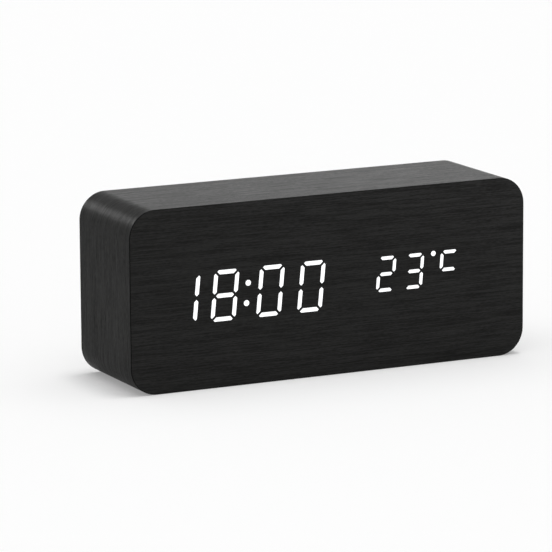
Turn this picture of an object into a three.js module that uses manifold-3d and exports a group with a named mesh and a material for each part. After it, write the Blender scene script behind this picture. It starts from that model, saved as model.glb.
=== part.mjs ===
// Digital alarm clock: a film-wrapped wooden block whose figures shine through its face.
// Millimetres. +X is the viewer's right, the face looks along -Y and +Z is up.
// The origin lies under the middle of the block, on the surface it stands on.

import * as THREE from 'three';
import { mergeVertices } from 'three/addons/utils/BufferGeometryUtils.js';
import Module from 'manifold-3d';

const wasm = await Module();
wasm.setup();

// Block
const blockLength = 150;
const blockHeight = 63;
const blockDepth = 42;
const cornerRadius = 9.5;
const wallThickness = 7;
const frontWall = 5;
const cornerPost = 6;
const filmThickness = 0.4;
const filmBevel = 0.25;
const rebateLedge = 3.3;
const rebateCornerRadius = 2;

// Fits
const glueLine = 0.05;
const seatGap = 0.05;
const slipGap = 0.3;
const landGap = 0.05;
const overrun = 1;

// What the clock shows, and which bars each figure lights
const shownTime = '18:00';
const shownTemperature = '23';
const litBars = {
  0: 'abcdef',
  1: 'bc',
  2: 'abged',
  3: 'abgcd',
  4: 'fgbc',
  5: 'afgcd',
  6: 'afgedc',
  7: 'abc',
  8: 'abcdefg',
  9: 'abcdfg',
};

// Figures: width, height, bar width, corner cut and the slit between bars
const timeFigure = { width: 9.6, height: 17.8, stroke: 1.73, corner: 1.68, slit: 0.58, slantShare: 0.1 };
const warmthFigure = { width: 7.3, height: 12.54, stroke: 1.47, corner: 1.5, slit: 0.48, slantShare: 0.083 };
const unitLetterHeight = 7.6;
const colonSpan = 6.92;
const colonRadius = 1.18;
const degreeRadius = 1.08;

// Places of the figures on the face: shares of the block's length from its middle, and of its height
const timeFigureShares = [-0.364, -0.2675, -0.154, -0.0509];
const colonShare = -0.2119;
const timeHeightShare = 0.5022;
const warmthFigureShares = [0.1403, 0.2125];
const warmthHeightShare = 0.5284;
const unitLetterShare = 0.3037;
const unitHeightShare = 0.5688;
const degreeShare = 0.2626;
const degreeHeightShare = 0.6155;

// Display stack
const windowMargin = 3;
const diffuserThickness = 1;
const maskThickness = 0.5;
const reflectorDepth = 5.6;
const flangeThickness = 1.2;
const plateGap = 0.6;
const displayScrewShare = 0.78;
const bossRadius = 3.2;
const pegInset = 2.4;
const pegRadius = 1;
const pegFootRadius = 2;
const pegProud = 0.6;
const wellLengthShare = 0.5;
const wellWidthShare = 0.9;
const boardThickness = 1.6;
const ledLength = 1.2;
const ledWidth = 0.8;
const ledHeight = 0.5;

// Back panel
const panelSetback = 1;
const panelThickness = 2.2;
const trayWall = 1.2;
const trayMargin = 8;
const saddleThickness = 1.6;
const saddleHeight = 3.6;
const saddleSpan = 15;
const saddleRoot = 0.6;
const collarWall = 1;
const collarDepth = 1.2;
const rimProud = 0.25;

// Batteries and their contacts
const cellRadius = 5.25;
const cellLength = 44.5;
const cellPitch = 10.8;
const cellNubRadius = 1.9;
const cellNubHeight = 0.8;
const cellEdge = 0.5;
const contactThickness = 0.4;
const contactHalfWidth = 4.2;
const contactHeight = 8;
const dimpleRadius = 2;
const dimpleHeight = 0.6;
const tabWidth = 2;
const tabReach = 1.6;
const springLength = 4.4;
const springWire = 0.6;
const springBaseRadius = 3.3;
const springTopRadius = 2.1;

// Battery door
const doorThickness = 1.6;
const doorLedge = 1.1;
const doorGap = 0.3;
const hookLength = 6;
const hookReach = 1.5;
const hookThickness = 1.2;
const latchWidth = 11;
const latchThickness = 0.8;
const latchLegGap = 1.4;
const latchDrop = 1;
const latchNib = 0.4;
const hookRoom = 1;
const gripLength = 12;
const gripWidth = 0.9;
const gripDepth = 0.4;
const gripPitch = 2;
const gripCount = 3;
const gripInset = 4;

// Button board and what is on it
const boardMargin = 5;
const boardLength = 44;
const boardHeight = 34;
const switchSize = 6;
const switchHeight = 3.5;
const switchCoverSize = 5.5;
const switchCoverProud = 0.2;
const plungerRadius = 1.7;
const plungerProud = 0.75;
const plungerRoom = 0.6;
const plungerSlack = 0.15;
const capRadius = 4;
const capProud = 0.8;
const capFlangeWidth = 1.1;
const capFlangeThickness = 1;
const capEdge = 0.5;
const capDish = 0.35;
const iconHeight = 0.3;
const iconSize = 1.5;
const usbWidth = 7.6;
const usbHeight = 2.9;
const usbReach = 6.3;
const usbCorner = 1;
const usbWall = 0.4;
const usbFloor = 1.5;
const usbTongueWidth = 4.2;
const usbTongueThickness = 0.6;
const usbTongueSetback = 1.2;
const usbTongueRise = 0.2;
const usbBevel = 1.4;
const buzzerRadius = 6;
const buzzerHeight = 4.6;
const buzzerHole = 1;
const buzzerEdge = 0.5;
const microphoneRadius = 3;
const microphoneHeight = 2.7;
const microphonePort = 2.1;
const microphonePortDepth = 0.3;
const thermistorRadius = 1.2;
const thermistorHeight = 3.4;
const thermistorLeg = 0.4;
const thermistorLegPitch = 1.1;
const coinRadius = 10;
const coinThickness = 3.2;
const coinEdge = 0.4;
const holderWall = 1;
const holderFloor = 0.8;
const holderMouth = 12;
const holderClip = 5;
const holderClipDrop = 2;
const holderClipReach = 1;
const soundHoleRadius = 0.7;
const soundHolePitch = 2.6;
const soundHoleCount = 6;
const micHoleRadius = 0.8;
const ventLength = 6;
const ventWidth = 1.1;
const ventPitch = 2.4;

// Places on the button board: shares of its length and of its height from its middle
const buttonRowShare = 0.24;
const buttonShares = [-0.27, 0.02, 0.31];
const usbShares = [-0.19, -0.2];
const microphoneShares = [0.02, -0.22];
const buzzerShares = [0.27, -0.2];
const thermistorShares = [-0.42, -0.1];
const coinShares = [0.03, -0.02];
const boardScrewShares = [[-0.43, 0.4], [0.43, -0.4]];
const ribbonShares = [0.4, 0.1];
const plugShares = [-0.36, -0.28];

// Screws
const panelScrew = { shank: 1.3, head: 2.6, crown: 1.5, bite: 9 };
const displayScrew = { shank: 1.1, head: 2.3, crown: 1.3, bite: 3.2 };
const boardScrew = { shank: 1.1, head: 2.2, crown: 1.3, bite: 4 };
const screwTipShare = 1.2;
const crownShare = 0.72;
const crossWidthShare = 0.26;
const crossLengthShare = 1.2;
const crossDepthShare = 0.6;

// Parts on the back of the display board: places are shares of the board's length and height
const chip = { length: 10, width: 4, height: 1.6 };
const chipFoot = { reach: 1.1, width: 0.45, thickness: 0.5, pitch: 1.27, count: 7 };
const clockChipShares = [0.06, 0.06];
const driverChipShares = [-0.2, 0.06];
const crystal = { length: 8, radius: 1.5, base: 0.5, baseRadius: 1.2 };
const crystalShares = [0.2, -0.12];
const capacitor = { radius: 2.5, height: 5.4, edge: 0.25, groove: 0.25, grooveRise: 1.8, grooveHalf: 0.45 };
const capacitorShares = [-0.33, 0.2];
const socket = { length: 12, width: 3.6, height: 3, slot: 1.5 };
const displaySocketShare = -0.12;

// Wires
const ribbonWidth = 9;
const ribbonThickness = 0.6;
const ribbonSway = 2.4;
const leadRadius = 0.6;
const leadSpacing = 2;
const leadDrop = 1.8;
const leadSag = 0.8;
const plug = { length: 6.4, width: 5, height: 4.6, neckLength: 5.1, neckWidth: 3.5, neck: 0.4 };

// Facet counts
const cornerSteps = 8;
const bendSteps = 4;
const roundSides = 16;
const coinSides = 24;
const smallSides = 10;
const springSides = 5;
const springTurns = 3;
const springStepsPerTurn = 8;
const leadStepShare = 6;

// Planes and spans that follow from the sizes above
const skin = filmThickness + glueLine;
const faceY = -blockDepth / 2;
const rearY = blockDepth / 2;
const coreFrontY = faceY + skin;
const coreRearY = rearY - skin;
const wallRearY = coreFrontY + frontWall;
const cavityHalf = blockLength / 2 - skin - wallThickness;
const cavityBottom = skin + wallThickness;
const cavityTop = blockHeight - skin - wallThickness;
const middleZ = blockHeight / 2;
const postX = cavityHalf - cornerPost / 2;
const postBottomZ = cavityBottom + cornerPost / 2;
const postTopZ = cavityTop - cornerPost / 2;

// Joins the vertices of a closed geometry and turns it into a solid that can be cut and joined.
function solidFrom(geometry) {
  const bare = geometry.index ? geometry.toNonIndexed() : geometry.clone();
  bare.deleteAttribute('normal');
  bare.deleteAttribute('uv');
  const merged = mergeVertices(bare);
  return new wasm.Manifold(new wasm.Mesh({
    numProp: 3,
    vertProperties: merged.attributes.position.array,
    triVerts: new Uint32Array(merged.index.array),
  }));
}

function geometryFrom(solid) {
  const mesh = solid.getMesh();
  const geometry = new THREE.BufferGeometry();
  geometry.setAttribute('position', new THREE.BufferAttribute(mesh.vertProperties, mesh.numProp));
  geometry.setIndex(new THREE.BufferAttribute(mesh.triVerts, 1));
  const flat = geometry.toNonIndexed();
  flat.computeVertexNormals();
  return flat;
}

function joined(solids) {
  return solids.reduce((whole, next) => whole.add(next));
}

function without(solid, cuts) {
  return cuts.reduce((left, cut) => left.subtract(cut), solid);
}

// A slab whose outline is drawn in X and Z, from its front plane to its back plane.
function slab(shape, frontY, backY) {
  const geometry = new THREE.ExtrudeGeometry(shape, {
    depth: backY - frontY,
    bevelEnabled: false,
  });
  geometry.rotateX(Math.PI / 2).translate(0, backY, 0);
  return solidFrom(geometry);
}

function outlineShape(points) {
  return new THREE.Shape(points.map(([x, z]) => new THREE.Vector2(x, z)));
}

function circleOutline(x, z, radius, sides) {
  return Array.from({ length: sides }, (_, i) => {
    const angle = (i / sides) * 2 * Math.PI;
    return [x + radius * Math.cos(angle), z + radius * Math.sin(angle)];
  });
}

function rectangle(left, right, bottom, top) {
  return outlineShape([[left, bottom], [right, bottom], [right, top], [left, top]]);
}

// Points round a rectangle with round corners, anticlockwise from its lower right corner.
function roundedOutline(left, right, bottom, top, radius) {
  const centres = [
    [right - radius, bottom + radius],
    [right - radius, top - radius],
    [left + radius, top - radius],
    [left + radius, bottom + radius],
  ];
  return centres.flatMap(([x, z], corner) => Array.from({ length: cornerSteps + 1 }, (_, i) => {
    const angle = (corner - 1 + i / cornerSteps) * (Math.PI / 2);
    return [x + radius * Math.cos(angle), z + radius * Math.sin(angle)];
  }));
}

function roundedRectangle(left, right, bottom, top, radius) {
  return outlineShape(roundedOutline(left, right, bottom, top, radius));
}

function block(left, right, frontY, backY, bottom, top) {
  const geometry = new THREE.BoxGeometry(right - left, backY - frontY, top - bottom);
  geometry.translate((left + right) / 2, (frontY + backY) / 2, (bottom + top) / 2);
  return solidFrom(geometry);
}

function blockAt(x, z, width, height, frontY, backY) {
  return block(x - width / 2, x + width / 2, frontY, backY, z - height / 2, z + height / 2);
}

// A round bar along Y.
function rod(x, z, radius, frontY, backY, sides = roundSides) {
  const geometry = new THREE.CylinderGeometry(radius, radius, backY - frontY, sides);
  geometry.translate(x, (frontY + backY) / 2, z);
  return solidFrom(geometry);
}

// A round bar along X.
function barAlongX(left, right, y, z, radius, sides = roundSides) {
  const geometry = new THREE.CylinderGeometry(radius, radius, right - left, sides);
  geometry.rotateZ(-Math.PI / 2).translate((left + right) / 2, y, z);
  return solidFrom(geometry);
}

// A turned piece about an axis along Y: the profile holds [radius, y] from front to back.
function turned(profile, x, z, sides = roundSides) {
  const geometry = new THREE.LatheGeometry(profile.map(([r, y]) => new THREE.Vector2(r, y)), sides);
  geometry.translate(x, 0, z);
  return solidFrom(geometry);
}

// A plug between two outlines with the same number of points, drawn anticlockwise in X and Z.
function loft(frontOutline, frontY, backOutline, backY) {
  const count = frontOutline.length;
  const front = frontOutline.map(([x, z]) => [x, frontY, z]);
  const back = backOutline.map(([x, z]) => [x, backY, z]);
  const corners = [];
  for (let i = 1; i < count - 1; i += 1) {
    corners.push(front[0], front[i], front[i + 1]);
    corners.push(back[0], back[i + 1], back[i]);
  }
  for (let i = 0; i < count; i += 1) {
    const next = (i + 1) % count;
    corners.push(front[i], back[i], front[next]);
    corners.push(front[next], back[i], back[next]);
  }
  const geometry = new THREE.BufferGeometry();
  geometry.setAttribute('position', new THREE.Float32BufferAttribute(corners.flat(), 3));
  return solidFrom(geometry);
}

const clock = new THREE.Group();

function addPiece(name, solid, colour, roughness, metalness) {
  const material = new THREE.MeshStandardMaterial({ color: colour, roughness, metalness });
  const mesh = new THREE.Mesh(geometryFrom(solid), material);
  mesh.name = name;
  clock.add(mesh);
}

// Figures
// Each bar is an outline in the figure's own frame: u from its left edge, v from its foot.

function anticlockwise(points) {
  const turning = THREE.ShapeUtils.isClockWise(points.map(([u, v]) => new THREE.Vector2(u, v)));
  return turning ? [...points].reverse() : points;
}

function mirrored(points, width, height) {
  return points.map(([u, v]) => [width === null ? u : width - u, height === null ? v : height - v]);
}

function endBar({ width, stroke, corner, slit }, height) {
  const half = slit / Math.SQRT2;
  const outerTip = (corner - half) / 2;
  const innerTip = (corner + half) / 2;
  return [
    [innerTip, height - outerTip],
    [corner, height],
    [width - corner, height],
    [width - innerTip, height - outerTip],
    [width - stroke - half, height - stroke],
    [stroke + half, height - stroke],
  ];
}

function middleBar({ width, height, stroke, slit }) {
  const half = slit / Math.SQRT2;
  const middle = height / 2;
  return [
    [stroke / 2 + half, middle],
    [stroke + half, middle + stroke / 2],
    [width - stroke - half, middle + stroke / 2],
    [width - stroke / 2 - half, middle],
    [width - stroke - half, middle - stroke / 2],
    [stroke + half, middle - stroke / 2],
  ];
}

function upperLeftBar({ height, stroke, corner, slit }) {
  const half = slit / Math.SQRT2;
  const middle = height / 2;
  return [
    [(corner - half) / 2, height - (corner + half) / 2],
    [0, height - corner],
    [0, middle + stroke / 2 + half],
    [stroke / 2, middle + half],
    [stroke, middle + stroke / 2 + half],
    [stroke, height - stroke - half],
  ];
}

function letterBackBar({ stroke, corner, slit }, height) {
  const half = slit / Math.SQRT2;
  const outerTip = (corner - half) / 2;
  const innerTip = (corner + half) / 2;
  return [
    [outerTip, height - innerTip],
    [0, height - corner],
    [0, corner],
    [outerTip, innerTip],
    [stroke, stroke + half],
    [stroke, height - stroke - half],
  ];
}

function figureBars(figure) {
  const { width, height } = figure;
  const top = endBar(figure, height);
  const upperLeft = upperLeftBar(figure);
  return {
    a: top,
    b: mirrored(upperLeft, width, null),
    c: mirrored(upperLeft, width, height),
    d: mirrored(top, null, height),
    e: mirrored(upperLeft, null, height),
    f: upperLeft,
    g: middleBar(figure),
  };
}

// One light: its outline on the face, the narrow end of its well and the spot of its LED.
function barLight(points, figure, height, x, z, lit) {
  const us = points.map(([u]) => u);
  const vs = points.map(([, v]) => v);
  const middleU = (Math.min(...us) + Math.max(...us)) / 2;
  const middleV = (Math.min(...vs) + Math.max(...vs)) / 2;
  const upright = Math.max(...vs) - Math.min(...vs) > Math.max(...us) - Math.min(...us);
  const uShare = upright ? wellWidthShare : wellLengthShare;
  const vShare = upright ? wellLengthShare : wellWidthShare;
  const place = ([u, v]) => [
    x + u - figure.width / 2 + figure.slantShare * (v - height / 2),
    z + v - height / 2,
  ];
  const narrowed = ([u, v]) => [middleU + (u - middleU) * uShare, middleV + (v - middleV) * vShare];
  const drawn = anticlockwise(points);
  return {
    outline: drawn.map(place),
    wellEnd: drawn.map(narrowed).map(place),
    spot: place([middleU, middleV]),
    upright,
    lit,
  };
}

function dotLight(x, z, radius) {
  return {
    outline: circleOutline(x, z, radius, smallSides),
    wellEnd: circleOutline(x, z, radius * wellWidthShare, smallSides),
    spot: [x, z],
    upright: false,
    lit: true,
  };
}

function figureLights(figure, shown, share, heightShare) {
  const bars = figureBars(figure);
  const x = share * blockLength;
  const z = heightShare * blockHeight;
  return Object.keys(bars).map((name) => (
    barLight(bars[name], figure, figure.height, x, z, litBars[shown].includes(name))
  ));
}

function colonLights() {
  const x = colonShare * blockLength;
  const z = timeHeightShare * blockHeight;
  return [-colonSpan / 2, colonSpan / 2].map((rise) => (
    dotLight(x + rise * timeFigure.slantShare, z + rise, colonRadius)
  ));
}

function unitLights() {
  const x = unitLetterShare * blockLength;
  const z = unitHeightShare * blockHeight;
  const top = endBar(warmthFigure, unitLetterHeight);
  const bars = [top, mirrored(top, null, unitLetterHeight), letterBackBar(warmthFigure, unitLetterHeight)];
  const degree = dotLight(degreeShare * blockLength, degreeHeightShare * blockHeight, degreeRadius);
  return [...bars.map((bar) => barLight(bar, warmthFigure, unitLetterHeight, x, z, true)), degree];
}

const timeFigures = shownTime.replace(':', '');
const lights = [
  ...timeFigureShares.flatMap((share, i) => figureLights(timeFigure, timeFigures[i], share, timeHeightShare)),
  ...colonLights(),
  ...warmthFigureShares.flatMap((share, i) => (
    figureLights(warmthFigure, shownTemperature[i], share, warmthHeightShare)
  )),
  ...unitLights(),
];
const litLights = lights.filter((light) => light.lit);

// An anticlockwise outline drawn in by a distance all round.
function drawnIn(points, distance) {
  const count = points.length;
  const sides = points.map(([x, z], i) => {
    const [nextX, nextZ] = points[(i + 1) % count];
    const length = Math.hypot(nextX - x, nextZ - z);
    const [inX, inZ] = [-(nextZ - z) / length, (nextX - x) / length];
    return { inX, inZ, reach: x * inX + z * inZ + distance };
  });
  return points.map((_, i) => {
    const before = sides[(i + count - 1) % count];
    const after = sides[i];
    const spread = before.inX * after.inZ - before.inZ * after.inX;
    return [
      (before.reach * after.inZ - after.reach * before.inZ) / spread,
      (after.reach * before.inX - before.reach * after.inX) / spread,
    ];
  });
}

// The display window holds every bar, lit or not.
const lightXs = lights.flatMap((light) => light.outline.map(([x]) => x));
const lightZs = lights.flatMap((light) => light.outline.map(([, z]) => z));
const windowLeft = Math.min(...lightXs) - windowMargin;
const windowRight = Math.max(...lightXs) + windowMargin;
const windowBottom = Math.min(...lightZs) - windowMargin;
const windowTop = Math.max(...lightZs) + windowMargin;

// Screws

// A pan-head screw along Y: headY is the plane under its head, and the tip lies towards the front.
function screwFromBack({ shank, head, crown }, x, z, headY, tipY) {
  const topY = headY + crown;
  const body = turned([
    [0, tipY],
    [shank, tipY + shank * screwTipShare],
    [shank, headY],
    [head, headY],
    [head, headY + crown / 2],
    [head * crownShare, topY],
    [0, topY],
  ], x, z, smallSides);
  const slotLength = head * crossLengthShare;
  const slotWidth = head * crossWidthShare;
  const slotY = topY - crown * crossDepthShare;
  return without(body, [
    blockAt(x, z, slotLength, slotWidth, slotY, topY + overrun),
    blockAt(x, z, slotWidth, slotLength, slotY, topY + overrun),
  ]);
}

// The block and its films

function placesOfPosts() {
  return [-postX, postX].flatMap((x) => [postBottomZ, postTopZ].map((z) => [x, z]));
}

const displayBandBottomZ = (cavityBottom + windowBottom) / 2;
const displayBandTopZ = (cavityTop + windowTop) / 2;
const displayScrewX = cavityHalf * displayScrewShare;
const pegX = cavityHalf - plateGap - pegInset;

function placesOfDisplayScrews() {
  const heights = [displayBandBottomZ, displayBandTopZ];
  return [-displayScrewX, displayScrewX].flatMap((x) => heights.map((z) => [x, z]));
}

const panelFaceY = rearY - panelSetback;
const panelInnerY = panelFaceY - panelThickness;
const rebateFloorY = panelInnerY - seatGap;
const rebateHalf = cavityHalf + rebateLedge;
const rebateBottom = cavityBottom - rebateLedge;
const rebateTop = cavityTop + rebateLedge;
const panelHalf = rebateHalf - slipGap;
const panelBottom = rebateBottom + slipGap;
const panelTop = rebateTop - slipGap;

const displayScrewTipY = wallRearY - displayScrew.bite;
const panelScrewTipY = panelInnerY - panelScrew.bite;

function cabinetCore() {
  const half = blockLength / 2 - skin;
  const outer = slab(
    roundedRectangle(-half, half, skin, blockHeight - skin, cornerRadius - skin),
    coreFrontY,
    coreRearY,
  );
  const betweenPosts = cavityHalf - cornerPost;
  const cavity = joined([
    block(-cavityHalf, cavityHalf, wallRearY, rearY, cavityBottom + cornerPost, cavityTop - cornerPost),
    block(-betweenPosts, betweenPosts, wallRearY, rearY, cavityBottom, cavityTop),
  ]);
  const rebate = slab(
    roundedRectangle(-rebateHalf, rebateHalf, rebateBottom, rebateTop, rebateCornerRadius),
    rebateFloorY,
    rearY + overrun,
  );
  const window = slab(
    rectangle(windowLeft, windowRight, windowBottom, windowTop),
    coreFrontY - overrun,
    wallRearY + overrun,
  );
  const panelPilots = placesOfPosts().map(([x, z]) => (
    rod(x, z, panelScrew.shank + seatGap, panelScrewTipY - slipGap, rearY, smallSides)
  ));
  const displayPilots = placesOfDisplayScrews().map(([x, z]) => (
    rod(x, z, displayScrew.shank + seatGap, displayScrewTipY - slipGap, wallRearY + overrun, smallSides)
  ));
  return without(outer, [cavity, rebate, window, ...panelPilots, ...displayPilots]);
}

function wrapFilm() {
  const half = blockLength / 2;
  const outer = roundedRectangle(-half, half, 0, blockHeight, cornerRadius);
  const inside = roundedRectangle(
    filmThickness - half,
    half - filmThickness,
    filmThickness,
    blockHeight - filmThickness,
    cornerRadius - filmThickness,
  );
  outer.holes.push(inside);
  return slab(outer, faceY + filmThickness + glueLine, rearY);
}

function frontFilm() {
  const half = blockLength / 2;
  const outline = (inset) => roundedOutline(
    inset - half,
    half - inset,
    inset,
    blockHeight - inset,
    cornerRadius - inset,
  );
  const bevelled = loft(outline(filmBevel), faceY, outline(0), faceY + filmBevel)
    .add(loft(outline(0), faceY + filmBevel, outline(0), faceY + filmThickness));
  const windows = litLights.map((light) => (
    slab(outlineShape(light.outline), faceY - overrun, faceY + filmThickness + overrun)
  ));
  return without(bevelled, windows);
}

function backFilm() {
  const half = blockLength / 2 - skin;
  const outer = roundedRectangle(-half, half, skin, blockHeight - skin, cornerRadius - skin);
  outer.holes.push(roundedRectangle(-rebateHalf, rebateHalf, rebateBottom, rebateTop, rebateCornerRadius));
  return slab(outer, rearY - filmThickness, rearY);
}

// The display, from the face inwards: diffuser, mask, reflector, board

const diffuserFrontY = faceY + filmThickness + glueLine;
const diffuserRearY = diffuserFrontY + diffuserThickness;
const maskFrontY = diffuserRearY + seatGap;
const maskRearY = maskFrontY + maskThickness;
const reflectorFrontY = maskRearY + seatGap;
const reflectorRearY = reflectorFrontY + reflectorDepth;
const flangeFrontY = wallRearY + seatGap;
const displayBoardFrontY = reflectorRearY + seatGap;
const displayBoardRearY = displayBoardFrontY + boardThickness;

function windowFill() {
  return rectangle(windowLeft + slipGap, windowRight - slipGap, windowBottom + slipGap, windowTop - slipGap);
}

function segmentDiffuser() {
  const lands = litLights.map((light) => (
    slab(outlineShape(drawnIn(light.outline, landGap)), faceY, diffuserFrontY + diffuserThickness / 2)
  ));
  return joined([slab(windowFill(), diffuserFrontY, diffuserRearY), ...lands]);
}

function lightMask() {
  const shape = windowFill();
  lights.forEach((light) => shape.holes.push(new THREE.Path(outlineShape(light.outline).getPoints())));
  return slab(shape, maskFrontY, maskRearY);
}

// A plate between the corner posts: full length at mid height, shorter at its top and bottom.
function notchedPlate() {
  const long = cavityHalf - plateGap;
  const short = long - cornerPost;
  const low = cavityBottom + plateGap;
  const high = cavityTop - plateGap;
  const step = cornerPost;
  return outlineShape([
    [-short, low], [short, low], [short, low + step], [long, low + step],
    [long, high - step], [short, high - step], [short, high], [-short, high],
    [-short, high - step], [-long, high - step], [-long, low + step], [-short, low + step],
  ]);
}

function segmentReflector() {
  const body = slab(windowFill(), reflectorFrontY, reflectorRearY);
  const flange = slab(notchedPlate(), flangeFrontY, flangeFrontY + flangeThickness);
  const bosses = placesOfDisplayScrews().map(([x, z]) => (
    rod(x, z, bossRadius, flangeFrontY + flangeThickness / 2, reflectorRearY, smallSides)
  ));
  const pegs = [-pegX, pegX].map((x) => joined([
    rod(x, middleZ, pegFootRadius, flangeFrontY + flangeThickness / 2, reflectorRearY, smallSides),
    rod(x, middleZ, pegRadius, reflectorRearY - seatGap, displayBoardRearY + pegProud, smallSides),
  ]));
  const wells = lights.map((light) => (
    loft(light.outline, reflectorFrontY, light.wellEnd, reflectorRearY)
  ));
  const holes = placesOfDisplayScrews().map(([x, z]) => (
    rod(x, z, displayScrew.shank + slipGap, flangeFrontY - overrun, reflectorRearY + overrun, smallSides)
  ));
  return without(joined([body, flange, ...bosses, ...pegs]), [...wells, ...holes]);
}

function displayBoard() {
  const plate = slab(notchedPlate(), displayBoardFrontY, displayBoardRearY);
  const through = (x, z, radius) => (
    rod(x, z, radius, displayBoardFrontY - overrun, displayBoardRearY + overrun, smallSides)
  );
  const pegHoles = [-pegX, pegX].map((x) => through(x, middleZ, pegRadius + seatGap * 2));
  const leds = lights.map(({ spot: [x, z], upright }) => (
    blockAt(
      x,
      z,
      upright ? ledWidth : ledLength,
      upright ? ledLength : ledWidth,
      displayBoardFrontY - ledHeight,
      displayBoardFrontY + ledHeight,
    )
  ));
  const holes = placesOfDisplayScrews().map(([x, z]) => through(x, z, displayScrew.shank + slipGap));
  return without(joined([plate, ...leds]), [...holes, ...pegHoles]);
}

// Where a pair of shares lies on the display board.
function onDisplayBoard([lengthShare, heightShare]) {
  return [lengthShare * 2 * cavityHalf, middleZ + heightShare * (cavityTop - cavityBottom)];
}

// A chip with a row of feet along each long side, standing on the display board.
function boardChip(shares) {
  const [x, z] = onDisplayBoard(shares);
  const footY = displayBoardRearY + seatGap;
  const body = blockAt(x, z, chip.length, chip.width, footY + seatGap, footY + chip.height);
  const feet = Array.from({ length: chipFoot.count }, (_, i) => {
    const footX = x + (i - (chipFoot.count - 1) / 2) * chipFoot.pitch;
    const span = chip.width + 2 * chipFoot.reach;
    return blockAt(footX, z, chipFoot.width, span, footY, footY + chipFoot.thickness);
  });
  return joined([body, ...feet]);
}

function crystalCan() {
  const [x, z] = onDisplayBoard(crystalShares);
  const y = displayBoardRearY + seatGap + crystal.radius;
  const endX = x + crystal.length / 2;
  const can = barAlongX(endX - crystal.length, endX, y, z, crystal.radius, smallSides);
  const base = barAlongX(endX - crystal.base, endX + crystal.base, y, z, crystal.baseRadius, smallSides);
  return can.add(base);
}

function filterCapacitor() {
  const [x, z] = onDisplayBoard(capacitorShares);
  const { radius, height, edge, groove, grooveRise, grooveHalf } = capacitor;
  const footY = displayBoardRearY + seatGap;
  return turned([
    [0, footY],
    [radius, footY],
    [radius, footY + grooveRise - grooveHalf],
    [radius - groove, footY + grooveRise],
    [radius, footY + grooveRise + grooveHalf],
    [radius, footY + height - edge],
    [radius - edge, footY + height],
    [0, footY + height],
  ], x, z);
}

// A pin socket, standing on a board plane and facing away from it, with a slot for the ribbon.
function ribbonSocket(x, z, boardY, way) {
  const rimY = boardY + way * (seatGap + socket.height);
  const footY = boardY + way * seatGap;
  const body = blockAt(x, z, socket.width, socket.length, Math.min(rimY, footY), Math.max(rimY, footY));
  const mouthY = rimY - way * socket.slot;
  const slot = blockAt(
    x,
    z,
    ribbonThickness + slipGap,
    ribbonWidth + slipGap,
    Math.min(mouthY, rimY + way * overrun),
    Math.max(mouthY, rimY + way * overrun),
  );
  return body.subtract(slot);
}

// Button side of the back

const capTopY = rearY - (panelSetback - capProud);
const capFlangeRearY = panelInnerY - slipGap;
const capFlangeFrontY = capFlangeRearY - capFlangeThickness;
const plungerTopY = capFlangeFrontY - seatGap;
const switchTopY = plungerTopY - plungerProud;
const buttonBoardRearY = switchTopY - switchHeight - seatGap;
const buttonBoardFrontY = buttonBoardRearY - boardThickness;
const boardLeft = boardMargin - cavityHalf;
const boardMiddleX = boardLeft + boardLength / 2;

function onButtonBoard([lengthShare, heightShare]) {
  return [boardMiddleX + lengthShare * boardLength, middleZ + heightShare * boardHeight];
}

const buttonPlaces = buttonShares.map((share) => onButtonBoard([share, buttonRowShare]));
const boardScrewPlaces = boardScrewShares.map(onButtonBoard);

function buttonBoard() {
  const plate = slab(
    roundedRectangle(
      boardLeft,
      boardLeft + boardLength,
      middleZ - boardHeight / 2,
      middleZ + boardHeight / 2,
      bossRadius / 2,
    ),
    buttonBoardFrontY,
    buttonBoardRearY,
  );
  const holes = boardScrewPlaces.map(([x, z]) => (
    rod(x, z, boardScrew.shank + slipGap, buttonBoardFrontY - overrun, buttonBoardRearY + overrun, smallSides)
  ));
  return without(plate, holes);
}

function switchBody([x, z]) {
  const footY = buttonBoardRearY + seatGap;
  const bodyTopY = switchTopY - switchCoverProud;
  const body = blockAt(x, z, switchSize, switchSize, footY, bodyTopY);
  const cover = blockAt(x, z, switchCoverSize, switchCoverSize, bodyTopY - switchCoverProud, switchTopY);
  const boreRadius = plungerRadius + plungerSlack;
  const bore = rod(x, z, boreRadius, switchTopY - plungerRoom * 2, switchTopY + overrun, smallSides);
  return body.add(cover).subtract(bore);
}

function switchPlunger([x, z]) {
  return rod(x, z, plungerRadius, switchTopY - plungerRoom, plungerTopY, smallSides);
}

// Raised marks: a dot for setting, and arrowheads for up and down.
function iconOutline(kind, x, z) {
  const size = iconSize;
  if (kind === 'set') return circleOutline(x, z, size / 2, smallSides);
  const rise = kind === 'up' ? size : -size;
  return anticlockwise([[x - size, z - rise / 2], [x + size, z - rise / 2], [x, z + rise]]);
}

function buttonCap(kind, [x, z]) {
  const dishRadius = capRadius - capEdge * 2;
  const dishY = capTopY - capDish;
  const body = turned([
    [0, capFlangeFrontY],
    [capRadius + capFlangeWidth, capFlangeFrontY],
    [capRadius + capFlangeWidth, capFlangeRearY],
    [capRadius, capFlangeRearY],
    [capRadius, capTopY - capEdge],
    [capRadius - capEdge, capTopY],
    [dishRadius, capTopY],
    [dishRadius - capDish, dishY],
    [0, dishY],
  ], x, z, roundSides);
  const icon = slab(outlineShape(iconOutline(kind, x, z)), dishY - capDish, dishY + iconHeight);
  return body.add(icon);
}

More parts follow.
